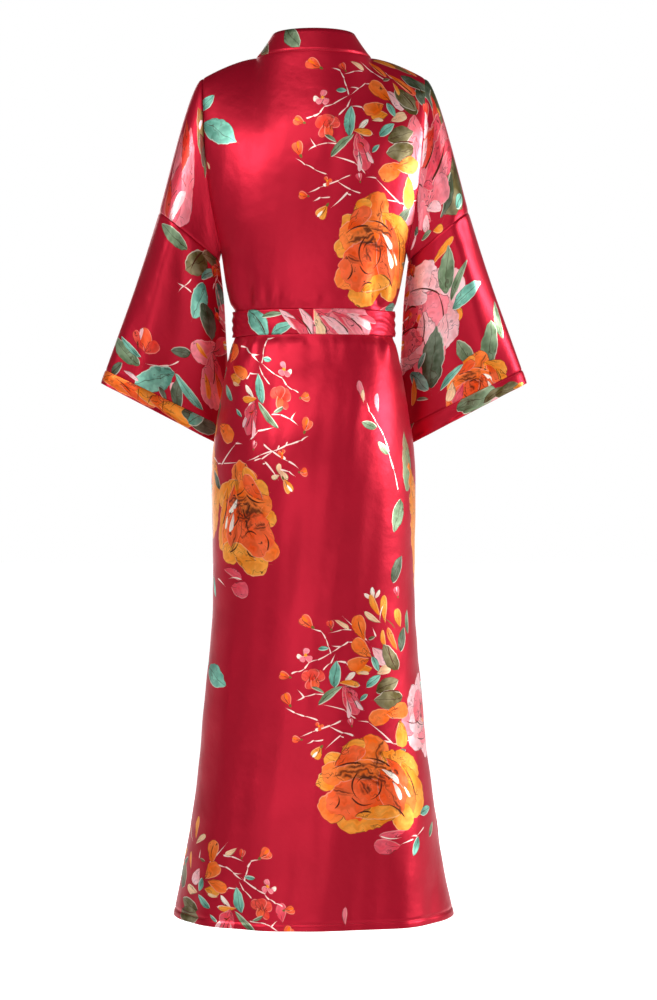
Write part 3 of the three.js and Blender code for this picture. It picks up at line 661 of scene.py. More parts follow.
# Its twigs, each from one end to the other in the same terms
bouquetTwigs = [
    [(-82, 232), (-71, 229), (-64, 219), (-60, 208), (-56, 197)],
    [(-54, 198), (-75, 186), (-88, 182), (-94, 174), (-103, 169), (-113, 166)],
    [(-54, 198), (-42, 206), (-30, 213), (-17, 214)],
    [(-53, 207), (-42, 206)],
    [(-50, 193), (-55, 182), (-66, 172)],
    [(-49, 183), (-33, 182), (-25, 174)],
    [(-104, 140), (-96, 131), (-80, 135), (-63, 134)],
    [(-105, 126), (-96, 131)],
    [(-121, 113), (-110, 107), (-96, 102), (-77, 96)],
    [(-90, 61), (-82, 65), (-68, 66)],
    [(-61, 55), (-42, 72), (-37, 70)],
    [(-98, 72), (-84, 78), (-58, 87), (-42, 94)],
    [(-58, 87), (-38, 77), (-23, 73)],
    [(-65, 118), (-36, 111), (-19, 99)],
    [(-17, 93), (-4, 92), (38, 62), (52, 61), (71, 66)],
    [(2, 68), (37, 63)],
    [(50, -90), (69, -83)],
    [(63, -79), (72, -78), (88, -65)],
]
crownTwigs = [
    [(-35, 248), (-1, 216)],
    [(-56, 227), (-40, 231), (-26, 231)],
    [(7, 233), (12, 222)],
]


# Motifs as strokes of a brush, placed as they show from behind or in front. The motifs' right runs along
# across and their up runs along along, and slim narrows the big flowers.
def layOut(rows, twigs=(), at=(0, 0), across=(1, 0), along=(0, 1), slim=1, seed=1):
    pick = random.Random(seed)
    growth = abs(across[0] * along[1] - across[1] * along[0])

    def place(x, y):
        return np.array([x * across[0] + y * along[0], x * across[1] + y * along[1]])

    made = []
    for path in twigs:
        points = np.array([place(*point) for point in path])
        middle = points.mean(0)
        heavy = pick.uniform(0.75, 1.1)
        strokes = []
        for k, (start, end) in enumerate(zip(points, points[1:])):
            spot = (start + end) / 2 - middle
            lean = math.degrees(math.atan2(*(end - start)[::-1]))
            length = np.linalg.norm(end - start) / 2 + 0.8  # so that the stretches meet
            width = heavy * pick.uniform(0.6, 1.05)
            strokes.append((*spot, lean, length, width, "twig", twigTip, pick.uniform(-1, 1)))
        made.append((*(middle + at), strokes))
    for motif, right, up, size, turn, tint in rows:
        strokes = []
        narrow = slim if motif == "rose" else 1
        for name, x, y, lean, length, width, tip, bend in paintings[motif]:
            name = {"own": tint, "light": lighter.get(tint, tint)}.get(name, name)
            spin = math.radians(turn)
            x, y = x * math.cos(spin) - y * math.sin(spin), x * math.sin(spin) + y * math.cos(spin)
            lean = math.radians(lean + turn + pick.uniform(-4, 4))
            ahead = place(math.cos(lean) * narrow, math.sin(lean))
            stretch = math.hypot(*ahead)
            centre = place(x * size / 2 * narrow, y * size / 2)
            grow = size / 2 * pick.uniform(0.95, 1.05)
            wide = width * grow * (growth * narrow / stretch if width > 0.06 else 1)
            turned = math.degrees(math.atan2(ahead[1], ahead[0]))
            strokes.append((*centre, turned, length * grow * stretch, wide, name, tip, bend * grow))
        made.append((*(place(right, up) + at), strokes))
    return made


camera = {"right": -22, "height": -663, "distance": 4000, "lens": 96}


def asSeen(points, front=False):  # where points show in the picture plane, to the right and up
    distance = camera["distance"] + (points[..., 1] if front else -points[..., 1])
    scale = camera["distance"] / distance
    right = points[..., 0] * (1 if front else -1)
    centre = camera["right"] if front else -camera["right"]
    above = (points[..., 2] - camera["height"]) * scale + camera["height"]
    return np.stack([(right - centre) * scale + centre, above], -1)


def pressOn(points, normals, flat, motifs, front=False):  # motifs from the picture plane to the flat cut
    seen = asSeen(points, front)
    facing = normals[..., 1] < 0.05 if front else normals[..., 1] > -0.05
    rights = np.gradient(seen, axis=1)
    flatRights = np.gradient(flat, axis=1)
    laid = []
    for right, up, strokes in motifs:
        gap = np.hypot(seen[..., 0] - right, seen[..., 1] - up) + np.where(facing, 0, 1e6)
        i, j = np.unravel_index(np.argmin(gap), gap.shape)
        if gap[i, j] > 100:
            continue
        sign = np.sign(flatRights[i, j, 0]) or 1
        lean = math.atan2(rights[i, j, 1] * sign, rights[i, j, 0] * sign)
        away = np.array([right, up]) - seen[i, j]
        cos, sin = math.cos(-lean), math.sin(-lean)
        middle = flat[i, j] + np.array([cos * away[0] - sin * away[1], sin * away[0] + cos * away[1]])
        for x, y, turn, length, width, tint, tip, bend in strokes:
            spot = middle + np.array([cos * x - sin * y, sin * x + cos * y])
            laid.append((spot, math.radians(turn) - lean, length, width, tint, tip, bend))
    return laid


printLayers = 8
strokeReach = {"along": 1.15, "across": 1.25}  # in halves of a stroke, with the wandering of its edge
farAway = (9.0, 9.0, 1.0)  # a place that no stroke reaches


def rootOf(tip):  # how blunt the other end of a stroke is
    return 1.145 - tip * 0.545


def printOn(mesh, laid, flatCorners):  # every face keeps the strokes that reach it, the topmost last
    faces = len(flatCorners)
    place = np.full((printLayers, faces, 4, 3), farAway)
    tint = np.zeros((printLayers, faces, 4, 4))
    used = np.zeros(faces, int)
    breadth = np.zeros((printLayers, faces))
    centres = flatCorners.mean(1)
    radius = np.linalg.norm(flatCorners - centres[:, None], axis=2).max(1)
    for middle, turn, length, width, tintName, tip, bend in laid:
        limit = length * strokeReach["across"] + radius + width + abs(bend)
        picked = np.nonzero(np.hypot(*(centres - middle).T) < limit)[0]
        if not len(picked):
            continue
        spun = np.array([[math.cos(turn), -math.sin(turn)], [math.sin(turn), math.cos(turn)]])
        local = ((flatCorners[picked] - middle) @ spun) / (length, width)
        local[..., 1] -= bend / width * (1 - np.minimum(local[..., 0] ** 2, 1.6))
        centre = local.mean(1)
        near = np.abs(centre[:, 0]) < strokeReach["along"] + radius[picked] / length
        near &= np.abs(centre[:, 1]) < strokeReach["across"] + radius[picked] / width
        picked, local = picked[near], local[near]
        u, v = local[..., 0], local[..., 1]
        profile = np.clip(1 - u, 0, 2) ** tip * np.clip(1 + u, 0, 2) ** rootOf(tip)
        covered = ((np.abs(v) < profile - 0.22) & (np.abs(u) < 0.9)).all(1) & (width > 4 and tip > dry)
        clear = picked[covered]  # the stroke hides what lies under it there
        place[:, clear] = farAway
        used[clear] = 0
        full = picked[used[picked] == printLayers]
        spare = breadth[:, full].argmin(0)  # the narrowest stroke gives way
        for layer in range(printLayers - 1):
            moved = full[spare <= layer]
            for kept in (place, tint, breadth):
                kept[layer, moved] = kept[layer + 1, moved]
        used[full] -= 1
        slot = used[picked]
        place[slot, picked, :, :2] = local
        place[slot, picked, :, 2] = width
        tint[slot, picked, :, :3] = tints[tintName]
        tint[slot, picked, :, 3] = tip
        breadth[slot, picked] = width
        used[picked] += 1
    print("  print layers in use", used.max(), "faces at the limit", int((used == printLayers).sum()))
    for layer in range(printLayers):
        spot = mesh.attributes.new(f"place{layer}", "FLOAT_VECTOR", "CORNER")
        spot.data.foreach_set("vector", place[layer].astype(np.float32).ravel())
        paint = mesh.attributes.new(f"tint{layer}", "FLOAT_COLOR", "CORNER")
        paint.data.foreach_set("color", tint[layer].astype(np.float32).ravel())


# Shader maths

class Wire:  # a value in a node tree, so that sums can be written as they are
    def __init__(self, tree, socket):
        self.tree = tree
        self.socket = socket

    def math(self, operation, *others):
        node = self.tree.nodes.new("ShaderNodeMath")
        node.operation = operation
        for slot, value in zip(node.inputs, (self, *others)):
            if isinstance(value, Wire):
                self.tree.links.new(value.socket, slot)
            else:
                slot.default_value = value
        return Wire(self.tree, node.outputs[0])

    def __add__(self, other):
        return self.math("ADD", other)

    def __mul__(self, other):
        return self.math("MULTIPLY", other)

    def __sub__(self, other):
        return self.math("SUBTRACT", other)

    def __truediv__(self, other):
        return self.math("DIVIDE", other)

    def __pow__(self, other):
        return self.math("POWER", other)

    def __radd__(self, other):
        return self.math("ADD", other)

    def __rmul__(self, other):
        return self.math("MULTIPLY", other)

    def __rsub__(self, other):
        return self.math("MULTIPLY", -1.0).math("ADD", other)

    def above(self, edge, soft):  # 0 below the edge and 1 above it
        return ((self - edge) / soft + 0.5).math("MINIMUM", 1.0).math("MAXIMUM", 0.0)

    def magnitude(self):
        return self.math("ABSOLUTE")


class Bench:  # makes every other node of a tree
    def __init__(self, tree):
        self.tree = tree

    def node(self, kind, settings=(), values=(), out=0):
        node = self.tree.nodes.new(kind)
        for name, value in dict(settings).items():
            setattr(node, name, value)
        for name, value in dict(values).items():
            if isinstance(value, Wire):
                self.tree.links.new(value.socket, node.inputs[name])
            else:
                node.inputs[name].default_value = value
        return Wire(self.tree, node.outputs[out])

    def blend(self, share, low, high):  # colours
        low, high = (c if isinstance(c, Wire) else (*c[:3], 1) for c in (low, high))
        return self.node("ShaderNodeMix", {"data_type": "RGBA"}, {0: share, 6: low, 7: high}, 2)

    def split(self, vector):
        first = self.node("ShaderNodeSeparateXYZ", values={0: vector})
        return [Wire(self.tree, out) for out in first.socket.node.outputs]

    def feed(self, socket, value):
        self.tree.links.new(value.socket, socket)


def newMaterial(name):
    material = bpy.data.materials.new(name)
    material.use_nodes = True
    return material, Bench(material.node_tree), material.node_tree.nodes["Principled BSDF"]


brush = {"wanderAlong": 0.24, "wanderAcross": 0.30, "fibres": 8.0, "fibreWaver": 16.0, "streaks": 0.08}
strokeInputs = {
    "Below": "Color",
    "Place": "Vector",
    "Tint": "Color",
    "Tip": "Float",
    "Wander": "Vector",
    "Patch": "Float",
}


def strokeGroup():  # one layer of the print: a petal, leaf or twig from its place and tint
    tree = bpy.data.node_groups.new("brushStroke", "ShaderNodeTree")
    for name, kind in strokeInputs.items():
        tree.interface.new_socket(name, in_out="INPUT", socket_type=f"NodeSocket{kind}")
    tree.interface.new_socket("Color", in_out="OUTPUT", socket_type="NodeSocketColor")
    bench = Bench(tree)
    inputs = tree.nodes.new("NodeGroupInput").outputs[: len(strokeInputs)]
    below, place, tint, tip, wander, patch = [Wire(tree, socket) for socket in inputs]
    u, v, width = bench.split(place)
    # The stroke's outline wanders a little, and each of its two ends has its own taper
    wanderU, wanderV, squiggle = bench.split(wander)
    u = u + (wanderU - 0.5) * brush["wanderAlong"]
    v = v + (wanderV - 0.5) * brush["wanderAcross"]
    tipSide = (1 - u).math("MAXIMUM", 0.0) ** tip
    rootSide = (1 + u).math("MAXIMUM", 0.0) ** rootOf(tip)
    profile = tipSide * rootSide
    depth = (profile - v.magnitude()) * width
    inside = depth.above(0.0, 0.35) * (1.2 - u.magnitude()).above(0.0, 0.02)
    # Fibres run along the stroke, and a dry brush thins out between them
    fibres = ((v / (profile + 0.15)) * brush["fibres"] + patch * brush["fibreWaver"]).math("SINE")
    wash = tip.above(0.315, 0.01) * (1 - tip.above(0.355, 0.01))
    washed = (depth * 0.22).math("MINIMUM", 1.0) * (fibres * 0.35 + 0.55)
    inside = inside * (1 - wash + wash * washed)
    # A broad stroke has a pale rim on one side and a pen line on the other, and a leaf has a vein
    broad = width.above(2.4, 0.6) * tip.above(0.36, 0.03)
    leafy = tip.above(0.75, 0.1)
    near = (1.3 - depth).above(0.0, 0.6) * broad
    lower = v.above(-0.05, 0.2)
    rim = near * (1 - lower) * (leafy * 0.45 + 0.3)
    outline = (0.75 - depth).above(0.0, 0.4) * broad * lower * patch.above(0.47, 0.05)
    vein = (0.5 - (v + (u * 3.0).math("SINE") * 0.1).magnitude() * width).above(0.0, 0.3) * broad * leafy
    squiggleLine = (0.009 - (squiggle - 0.5).magnitude()).above(0.0, 0.005) * broad * (1 - leafy)
    squiggleLine = squiggleLine * patch.above(0.60, 0.04)
    # The colour runs from a rich or dark root to a light tip
    towardsTip = (u * 0.5 + 0.5 + (patch - 0.5) * 2.2).math("MINIMUM", 1.0).math("MAXIMUM", 0.0)
    streak = fibres * brush["streaks"] + 1.0
    seams = (fibres - 0.72).above(0.0, 0.3) * (-0.15 - u + (patch - 0.5) * 1.6).above(0.0, 0.4) * 0.5
    dark = bench.blend(0.50, tint, tone(0.20, 0.15, 0.07))
    rich = bench.blend(0.30, tint, tone(0.88, 0.14, 0.02))
    petal = bench.blend(towardsTip, rich, bench.blend(0.05, tint, tints["cream"]))
    foliage = bench.blend(towardsTip, dark, bench.blend(0.12, tint, tints["cream"]))
    colour = bench.blend(leafy * broad, petal, foliage)
    colour = bench.blend(broad, tint, colour)
    grey = bench.node("ShaderNodeCombineXYZ", values={"X": streak, "Y": streak, "Z": streak})
    colour = bench.node("ShaderNodeVectorMath", {"operation": "MULTIPLY"}, {0: colour, 1: grey})
    penWork = (squiggleLine + vein * 0.6 + outline * 0.7 + seams * broad).math("MINIMUM", 0.85)
    colour = bench.blend(penWork, colour, tone(0.22, 0.09, 0.05))
    colour = bench.blend(rim, colour, bench.blend(0.6, tint, tints["cream"]))
    bench.feed(tree.nodes.new("NodeGroupOutput").inputs[0], bench.blend(inside, below, colour))
    return tree


satin = {
    "base": tone(0.75, 0.05, 0.18),
    "shade": tone(0.67, 0.04, 0.15),
    "metallic": 0.64,
    "roughness": 0.41,
    "wrinkle": 0.4,
    "creaseScale": 38.0,
    "weaveScale": 1600.0,
    "creaseDepth": 0.0016,
}


def satinMaterial(name, group):
    material, bench, shader = newMaterial(name)
    cut = bench.node("ShaderNodeUVMap", {"uv_map": "cut"})

    def noise(scale, detail, out=0):
        values = {"Vector": cut, "Scale": scale, "Detail": detail}
        return bench.node("ShaderNodeTexNoise", {"noise_dimensions": "2D"}, values, out)

    wander = noise(70.0, 1.0, 1)  # moves the edge of a stroke
    patch = noise(58.0, 2.0)  # lets its ink come and go
    drift = noise(7.0, 2.0)  # the dye's slow change
    colour = bench.blend(drift, satin["base"], satin["shade"])
    for layer in range(printLayers):
        place = bench.node("ShaderNodeAttribute", {"attribute_name": f"place{layer}"}, out="Vector")
        tint = bench.node("ShaderNodeAttribute", {"attribute_name": f"tint{layer}"}, out="Color")
        tip = Wire(bench.tree, tint.socket.node.outputs["Alpha"])
        values = {"Below": colour, "Place": place, "Tint": tint, "Tip": tip, "Wander": wander, "Patch": patch}
        colour = bench.node("ShaderNodeGroup", {"node_tree": group}, values)
    bench.feed(shader.inputs["Base Color"], colour)
    height = noise(satin["creaseScale"], 3.0) + noise(satin["weaveScale"], 0.0) * 0.02
    values = {"Height": height, "Strength": satin["wrinkle"], "Distance": satin["creaseDepth"]}
    bench.feed(shader.inputs["Normal"], bench.node("ShaderNodeBump", values=values))
    bench.feed(shader.inputs["Roughness"], satin["roughness"] + (drift - 0.5) * 0.08)
    shader.inputs["Metallic"].default_value = satin["metallic"]
    shader.inputs["Specular IOR Level"].default_value = 0.4
    return material


printedSatin = satinMaterial("printedSatin", strokeGroup())


def threadMaterial():
    material, bench, shader = newMaterial("crimsonThread")
    where = bench.node("ShaderNodeTexCoord", out="Object")
    twist = bench.node("ShaderNodeTexNoise", values={"Vector": where, "Scale": 900.0, "Detail": 1.0})
    colour = bench.blend(twist, tone(0.52, 0.03, 0.10), tone(0.74, 0.10, 0.18))
    bench.feed(shader.inputs["Base Color"], colour)
    values = {"Height": twist, "Strength": 0.5, "Distance": 0.0002}
    bench.feed(shader.inputs["Normal"], bench.node("ShaderNodeBump", values=values))
    shader.inputs["Roughness"].default_value = 0.5
    return material


crimsonThread = threadMaterial()
stitch = {"pitch": 3.4, "length": 2.3, "thick": 0.24}


# Making a piece of cloth from its grid

def placed(name, data):
    thing = bpy.data.objects.new(name, data)
    bpy.context.collection.objects.link(thing)
    return thing


def clothPiece(name, points, flat, laid, slot, wall=walls["cloth"], flip=False, closed=False):
    rows, columns = points.shape[:2]
    bm = bmesh.new()
    bmesh.ops.create_grid(bm, x_segments=columns - 1, y_segments=rows - 1, size=0.5)
    mesh = bpy.data.meshes.new(name)
    bm.to_mesh(mesh)
    bm.free()
    spots = np.zeros(len(mesh.vertices) * 3, np.float32)
    mesh.vertices.foreach_get("co", spots)
    spots = spots.reshape(-1, 3)
    i = np.rint((spots[:, 1] + 0.5) * (rows - 1)).astype(int)
    j = np.rint((spots[:, 0] + 0.5) * (columns - 1)).astype(int)
    mesh.vertices.foreach_set("co", (points[i, j] * mm).astype(np.float32).ravel())
    corners = np.zeros(len(mesh.loops), np.int32)
    mesh.loops.foreach_get("vertex_index", corners)
    flatCorners = flat[i, j][corners]
    cut = mesh.uv_layers.new(name="cut")
    cut.data.foreach_set("uv", (flatCorners * mm).astype(np.float32).ravel())
    printOn(mesh, laid, flatCorners.reshape(-1, 4, 2))
    bm = bmesh.new()
    bm.from_mesh(mesh)
    if closed:
        bmesh.ops.remove_doubles(bm, verts=bm.verts, dist=0.00002)
    if flip:
        bmesh.ops.reverse_faces(bm, faces=bm.faces)
    bm.to_mesh(mesh)
    bm.free()
    mesh.polygons.foreach_set("use_smooth", [True] * len(mesh.polygons))
    piece = placed(name, mesh)
    shell = piece.modifiers.new("wall", "SOLIDIFY")
    shell.thickness = wall * mm
    shell.offset = 0
    mesh.materials.append(printedSatin)
    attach(piece, "root")
    print("made", name, len(mesh.polygons), "faces")
    return piece


# A row of stitches that lie on the cloth
def stitched(name, node, line, normals, slot, wall=walls["cloth"]):
    steps = np.linalg.norm(np.diff(line, axis=0), axis=1)
    along = np.concatenate(([0], np.cumsum(steps)))
    rod = {"radius1": stitch["thick"] * mm, "radius2": stitch["thick"] * mm, "depth": stitch["length"] * mm}
    bm = bmesh.new()
    for at in np.arange(stitch["pitch"], along[-1] - stitch["pitch"], stitch["pitch"]):
        spot, ahead, out = (
            np.array([np.interp(at + shift, along, values[:, axis]) for axis in range(3)])
            for values, shift in ((line, 0), (line, 0.5), (normals, 0))
        )
        lean = Vector(ahead - spot).to_track_quat("Z", "Y").to_matrix().to_4x4()
        lean.translation = Vector((spot + out * wall / 2) * mm)
        bmesh.ops.create_cone(bm, cap_ends=True, segments=6, matrix=lean, **rod)
    mesh = bpy.data.meshes.new(name)
    bm.to_mesh(mesh)
    bm.free()
    mesh.materials.append(crimsonThread)
    piece = placed(name, mesh)
    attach(piece, "root")
    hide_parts(node)
    print("sewn", name, len(mesh.polygons), "faces")
    return piece


def asSheet(node, stitches=None):  # hides the imported part that a piece of cloth stands in for, found by its node
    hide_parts(node)


# The back

backPiece = {"step": 4.0, "rowStep": 4.3, "halfWidth": 230, "hemDip": 6, "dipFrom": -1150, "dipSpan": 130}
hemRows = (1.2, 2.6, 4.6, 7.2, 8.7, 10, 11.3, 12.8)  # closer rows, for the turned hem and its stitches
levels = np.concatenate((
    [0, 0.05, 0.12, 0.2, 0.3],  # closer rows at the shoulder seam
    np.arange(0.45, armholeRows, 0.2),
    [levelAt(z) for z in spread(underarm[2], hemHeight, backPiece["rowStep"], hemRows)],
))
halfShares = 1 - spread(0, backPiece["halfWidth"], backPiece["step"]) / backPiece["halfWidth"]
shares = np.concatenate((-np.sort(halfShares)[::-1], np.sort(halfShares)[1:]))
shares = np.unique(np.round(shares, 6))
backGrid = folded("back", relaxed(np.array([bodyPoints("back", shares, level) for level in levels])))
low = smooth((backPiece["dipFrom"] - backGrid[..., 2]) / backPiece["dipSpan"])
backGrid[..., 2] -= backPiece["hemDip"] * (1 - shares**2) * low
backNormals = outward(backGrid, 1)
backFlat = flatCut(backGrid, len(shares) // 2, -1)
backGrid = rollEdges(backGrid, backNormals, backFlat, ["start", "end"])
backGrid = turnedHem(backGrid, backNormals, backFlat)

backSprigs = [
    ("broadLeaf", -160, -68, 34, 60, "teal"),
    ("broadLeaf", -142, -112, 68, -24, "teal"),
    ("petal", 150, -112, 56, -96, "pink"),
    ("petal", 154, -150, 60, -92, "pink"),
    ("petal", 150, -176, 44, -100, "pink"),
    ("petal", 142, -226, 46, -96, "pink"),
    ("line", 151, -150, 34, -96, "brown"),
    ("line", 148, -206, 20, -40, "brown"),
    ("slimPetal", -158, -161, 13, -60, "peach"),
    ("slimPetal", 137, -604, 92, -86, "sage"),
    ("slimPetal", 72, -499, 32, 108, "pink"),
    ("slimPetal", 74, -507, 20, 92, "peach"),
    ("slimPetal", 95, -517, 30, 94, "pink"),
    ("leaf", 83, -550, 28, 160, "sage"),
    ("leaf", 104, -585, 27, 138, "sage"),
    ("leaf", 125, -686, 52, -112, "sage"),
    ("leaf", 125, -767, 46, 62, "forest"),
    ("bud", 124, -801, 20, 110, "rosePink"),
    ("spray", 90, -812, 30, 100, "cream"),
    ("leaf", -160, -900, 24, 80, "teal"),
    ("broadLeaf", -148, -928, 58, -30, "teal"),
    ("petal", -48, -1282, 28, 92, "rosePink"),
    ("slimPetal", 47, -1288, 26, 92, "pink"),
    ("petal", -52, -617, 16, 100, "peach"),
    ("petal", -46, -626, 18, -50, "peach"),
    ("petal", -57, -628, 14, 200, "peach"),
    ("petal", -149, -556, 36, 110, "amber"),
    ("petal", -152, -585, 38, 86, "orange"),
    ("slimPetal", -167, -640, 150, 88, "amber"),
    ("slimPetal", 169, -700, 190, 90, "amber"),
    ("slimPetal", -124, -432, 34, 40, "orange"),
    ("slimLeaf", -158, -500, 60, 90, "sage"),
]
backTwigs = [
    [(76, -517), (80, -530), (91, -546), (104, -565), (114, -590), (124, -616), (132, -646)],
    [(-101, -603), (-85, -597), (-62, -590), (-44, -583), (-24, -576)],
    [(-56, -590), (-52, -582)],
    [(-44, -584), (-40, -577)],
]
shoulderSprigs = [
    ("broadLeaf", 171, -50, 48, -64, "olive"),
    ("broadLeaf", 152, -40, 44, -40, "forest"),
    ("broadLeaf", 164, -62, 40, -80, "forest"),
    ("broadLeaf", 138, -64, 50, -56, "olive"),
    ("slimPetal", 126, -16, 40, -22, "olive"),
    ("slimPetal", 105, -9, 34, -18, "amber"),
    ("petal", 142, -20, 22, -40, "orange"),
    ("slimPetal", 156, -26, 20, -40, "blush"),
    ("slimPetal", 134, -42, 48, -52, "scarlet"),
    ("slimPetal", 128, -38, 40, -54, "orange"),
    ("slimPetal", 123, -47, 22, -80, "amber"),
    ("line", 131, -42, 38, -52, "brown"),
    ("line", 140, -62, 36, -58, "brown"),
    ("line", 154, -44, 30, -70, "brown"),
    ("slimPetal", 94, -17, 34, -52, "orange"),
    ("line", 92, -18, 26, -54, "brown"),
    ("slimPetal", 66, -12, 27, -28, "peach"),
    ("leaf", 109, -33, 12, 16, "olive"),
    ("slimPetal", 156, -72, 20, 92, "red"),
    ("slimPetal", 166, -76, 20, 92, "red"),
    ("bud", 44, -14, 18, 120, "red"),
    ("bud", 1, -10, 29, 150, "scarlet"),
]
shoulderTwigs = [
    [(68, -6), (88, -22), (103, -36)],
    [(108, -22), (113, -31)],
    [(44, -24), (60, -20), (76, -20)],
]
peonyAtSide = [("peony", 104, 124, 104, 20, "pink")]
backMotifs = layOut(backSprigs, backTwigs, seed=15)
backMotifs += layOut(bouquet, bouquetTwigs, (83, -288), (1.0, -0.03), (0.12, 1.17), slim=0.72, seed=11)
backMotifs += layOut(shoulderSprigs, shoulderTwigs, seed=16)
backMotifs += layOut(peonyAtSide, (), (81, -1089), seed=17)
crowned = (bouquetCrown + bouquet, crownTwigs + bouquetTwigs)
backMotifs += layOut(*crowned, (81, -1089), seed=12)
backMotifs += layOut(bouquet, bouquetTwigs, (-99, -689), (-0.87, 0.127), (-0.139, 1.21), slim=0.72, seed=13)
backMotifs += layOut(*crowned, (-150, -1416), (-0.97, 0.154), (-0.05, 0.97), seed=14)
backLaid = pressOn(backGrid, backNormals, backFlat, backMotifs)
back = clothPiece("backPanel", backGrid, backFlat, backLaid, "satin")
hemLines = [lineAbove(values, backFlat, hem["width"]) for values in (backGrid, backNormals)]
asSheet("back", stitched("backHemStitches", "back", *hemLines, "satin"))


# The fronts and the neckband

frontPiece = {"columns": 52}
bandWidth, bandCount = bandSize["width"], bandSize["columns"]


def frontGrid(side):  # one front with its stretch of the neckband, as far as the side seam
    rows = []
    probe = 0.02
    inner = spread(0, 1, 1 / frontPiece["columns"], (0.004, 0.009, 0.015))
    for level in levels:
        edge = frontEdgeShare(level)
        ends = bodyPoints("front", np.array([edge, edge - probe]), level)
        perShare = np.linalg.norm(ends[1] - ends[0]) / probe
        bandShares = edge - bandWidth / perShare * np.arange(bandCount, 0, -1) / bandCount
        rows.append(np.concatenate((bandShares, mix(edge, 1, inner))) * side)
    shares = np.array(rows)
    under = np.array([bodyPoints("front", row, level) for row, level in zip(shares, levels)])
    under = folded("front", relaxed(under))
    normals = outward(under, -side)
    ease = smooth((1 - shares * side) / 0.25) * smooth((levels[:, None] - 3) / 4)
    lying = under + normals * (side * layerStep * ease)[..., None]
    turned = smooth(levels / bandSize["turnRows"])[:, None, None]
    root = lying[:, bandCount : bandCount + 1]
    reach = bandWidth * np.arange(bandCount, -1, -1) / bandCount
    upright = root + reach[None, :, None] * standing(side * math.pi / 2)
    lying[:, : bandCount + 1] = mix(upright, lying[:, : bandCount + 1], turned)
    return lying


frontGrids = {1: frontGrid(1), -1: frontGrid(-1)}
# The front's bouquets: where the rose lies, how wide and how high they are drawn, and the seed
frontBouquets = {
    1: [((84, -610), 0.9, 0.9, 21), ((96, -1320), 1, 1, 22), ((84, -250), 0.8, 0.8, 23)],
    -1: [((-96, -250), -0.8, 0.8, 24), ((-84, -900), -0.9, 1, 25)],
}
for side, word in ((1, "left"), (-1, "right")):
    grid = frontGrids[side][:, bandCount:]
    normals = outward(grid, -side)
    flat = flatCut(grid, 0, side)
    grid = rollEdges(grid, normals, flat, ["start", "end"])
    grid = turnedHem(grid, normals, flat)
    motifs = []
    for place, wide, high, seed in frontBouquets[side]:
        motifs += layOut(bouquet, bouquetTwigs, place, (wide, 0), (0, high), seed=seed)
    laid = pressOn(grid, normals, flat, motifs, front=True)
    piece = clothPiece(f"frontPanel{word.title()}", grid, flat, laid, "satin", flip=side > 0)
    hemLines = [lineAbove(values, flat, hem["width"]) for values in (grid, normals)]
    hemStitches = stitched(f"frontHemStitches{word.title()}", f"front_{word}", *hemLines, "satin")
    asSheet(f"front_{word}", hemStitches)

bandStations = [frontGrids[1][i, bandCount::-1] for i in range(len(levels) - 1, -1, -1)]
for turnShare in np.linspace(1, -1, bandSize["stations"])[1:-1]:
    turn = math.pi / 2 * turnShare
    root = topEdge(np.array([abs(turnShare) * neckShare * 0.99999]))[0] * (math.copysign(1, turnShare), 1, 1)
    bandStations.append(root + np.arange(bandCount + 1)[:, None] / bandCount * bandWidth * standing(turn))
bandStations += [frontGrids[-1][i, bandCount::-1] for i in range(len(levels))]
bandGrid = np.array(bandStations).transpose(1, 0, 2)
bandNormals = outward(bandGrid, 1)
bandFlat = flatCut(bandGrid.transpose(1, 0, 2), 0, 1).transpose(1, 0, 2)[..., ::-1]
bandGrid = bandGrid + bandNormals * bandSize["lift"]
bandPrint = [
    ("broadLeaf", -32, 34, 44, 55, "sage"),
    ("leaf", -74, -4, 40, 60, "olive"),
]
bandLaid = pressOn(bandGrid, bandNormals, bandFlat, layOut(bandPrint, seed=5))
for place in ((30, -560), (-90, -1000)):
    bandMotifs = layOut(bouquet, bouquetTwigs, place, seed=6)
    bandLaid += pressOn(bandGrid, bandNormals, bandFlat, bandMotifs, front=True)
band = clothPiece("neckbandStrip", bandGrid, bandFlat, bandLaid, "satin_band", walls["doubled"])
seamSide = [mix(values[0], values[1], 0.3) for values in (bandGrid, bandNormals)]
bandStitches = stitched("neckbandStitches", "neckband", *seamSide, "satin_band", walls["doubled"])
asSheet("neckband", bandStitches)


# The sleeves

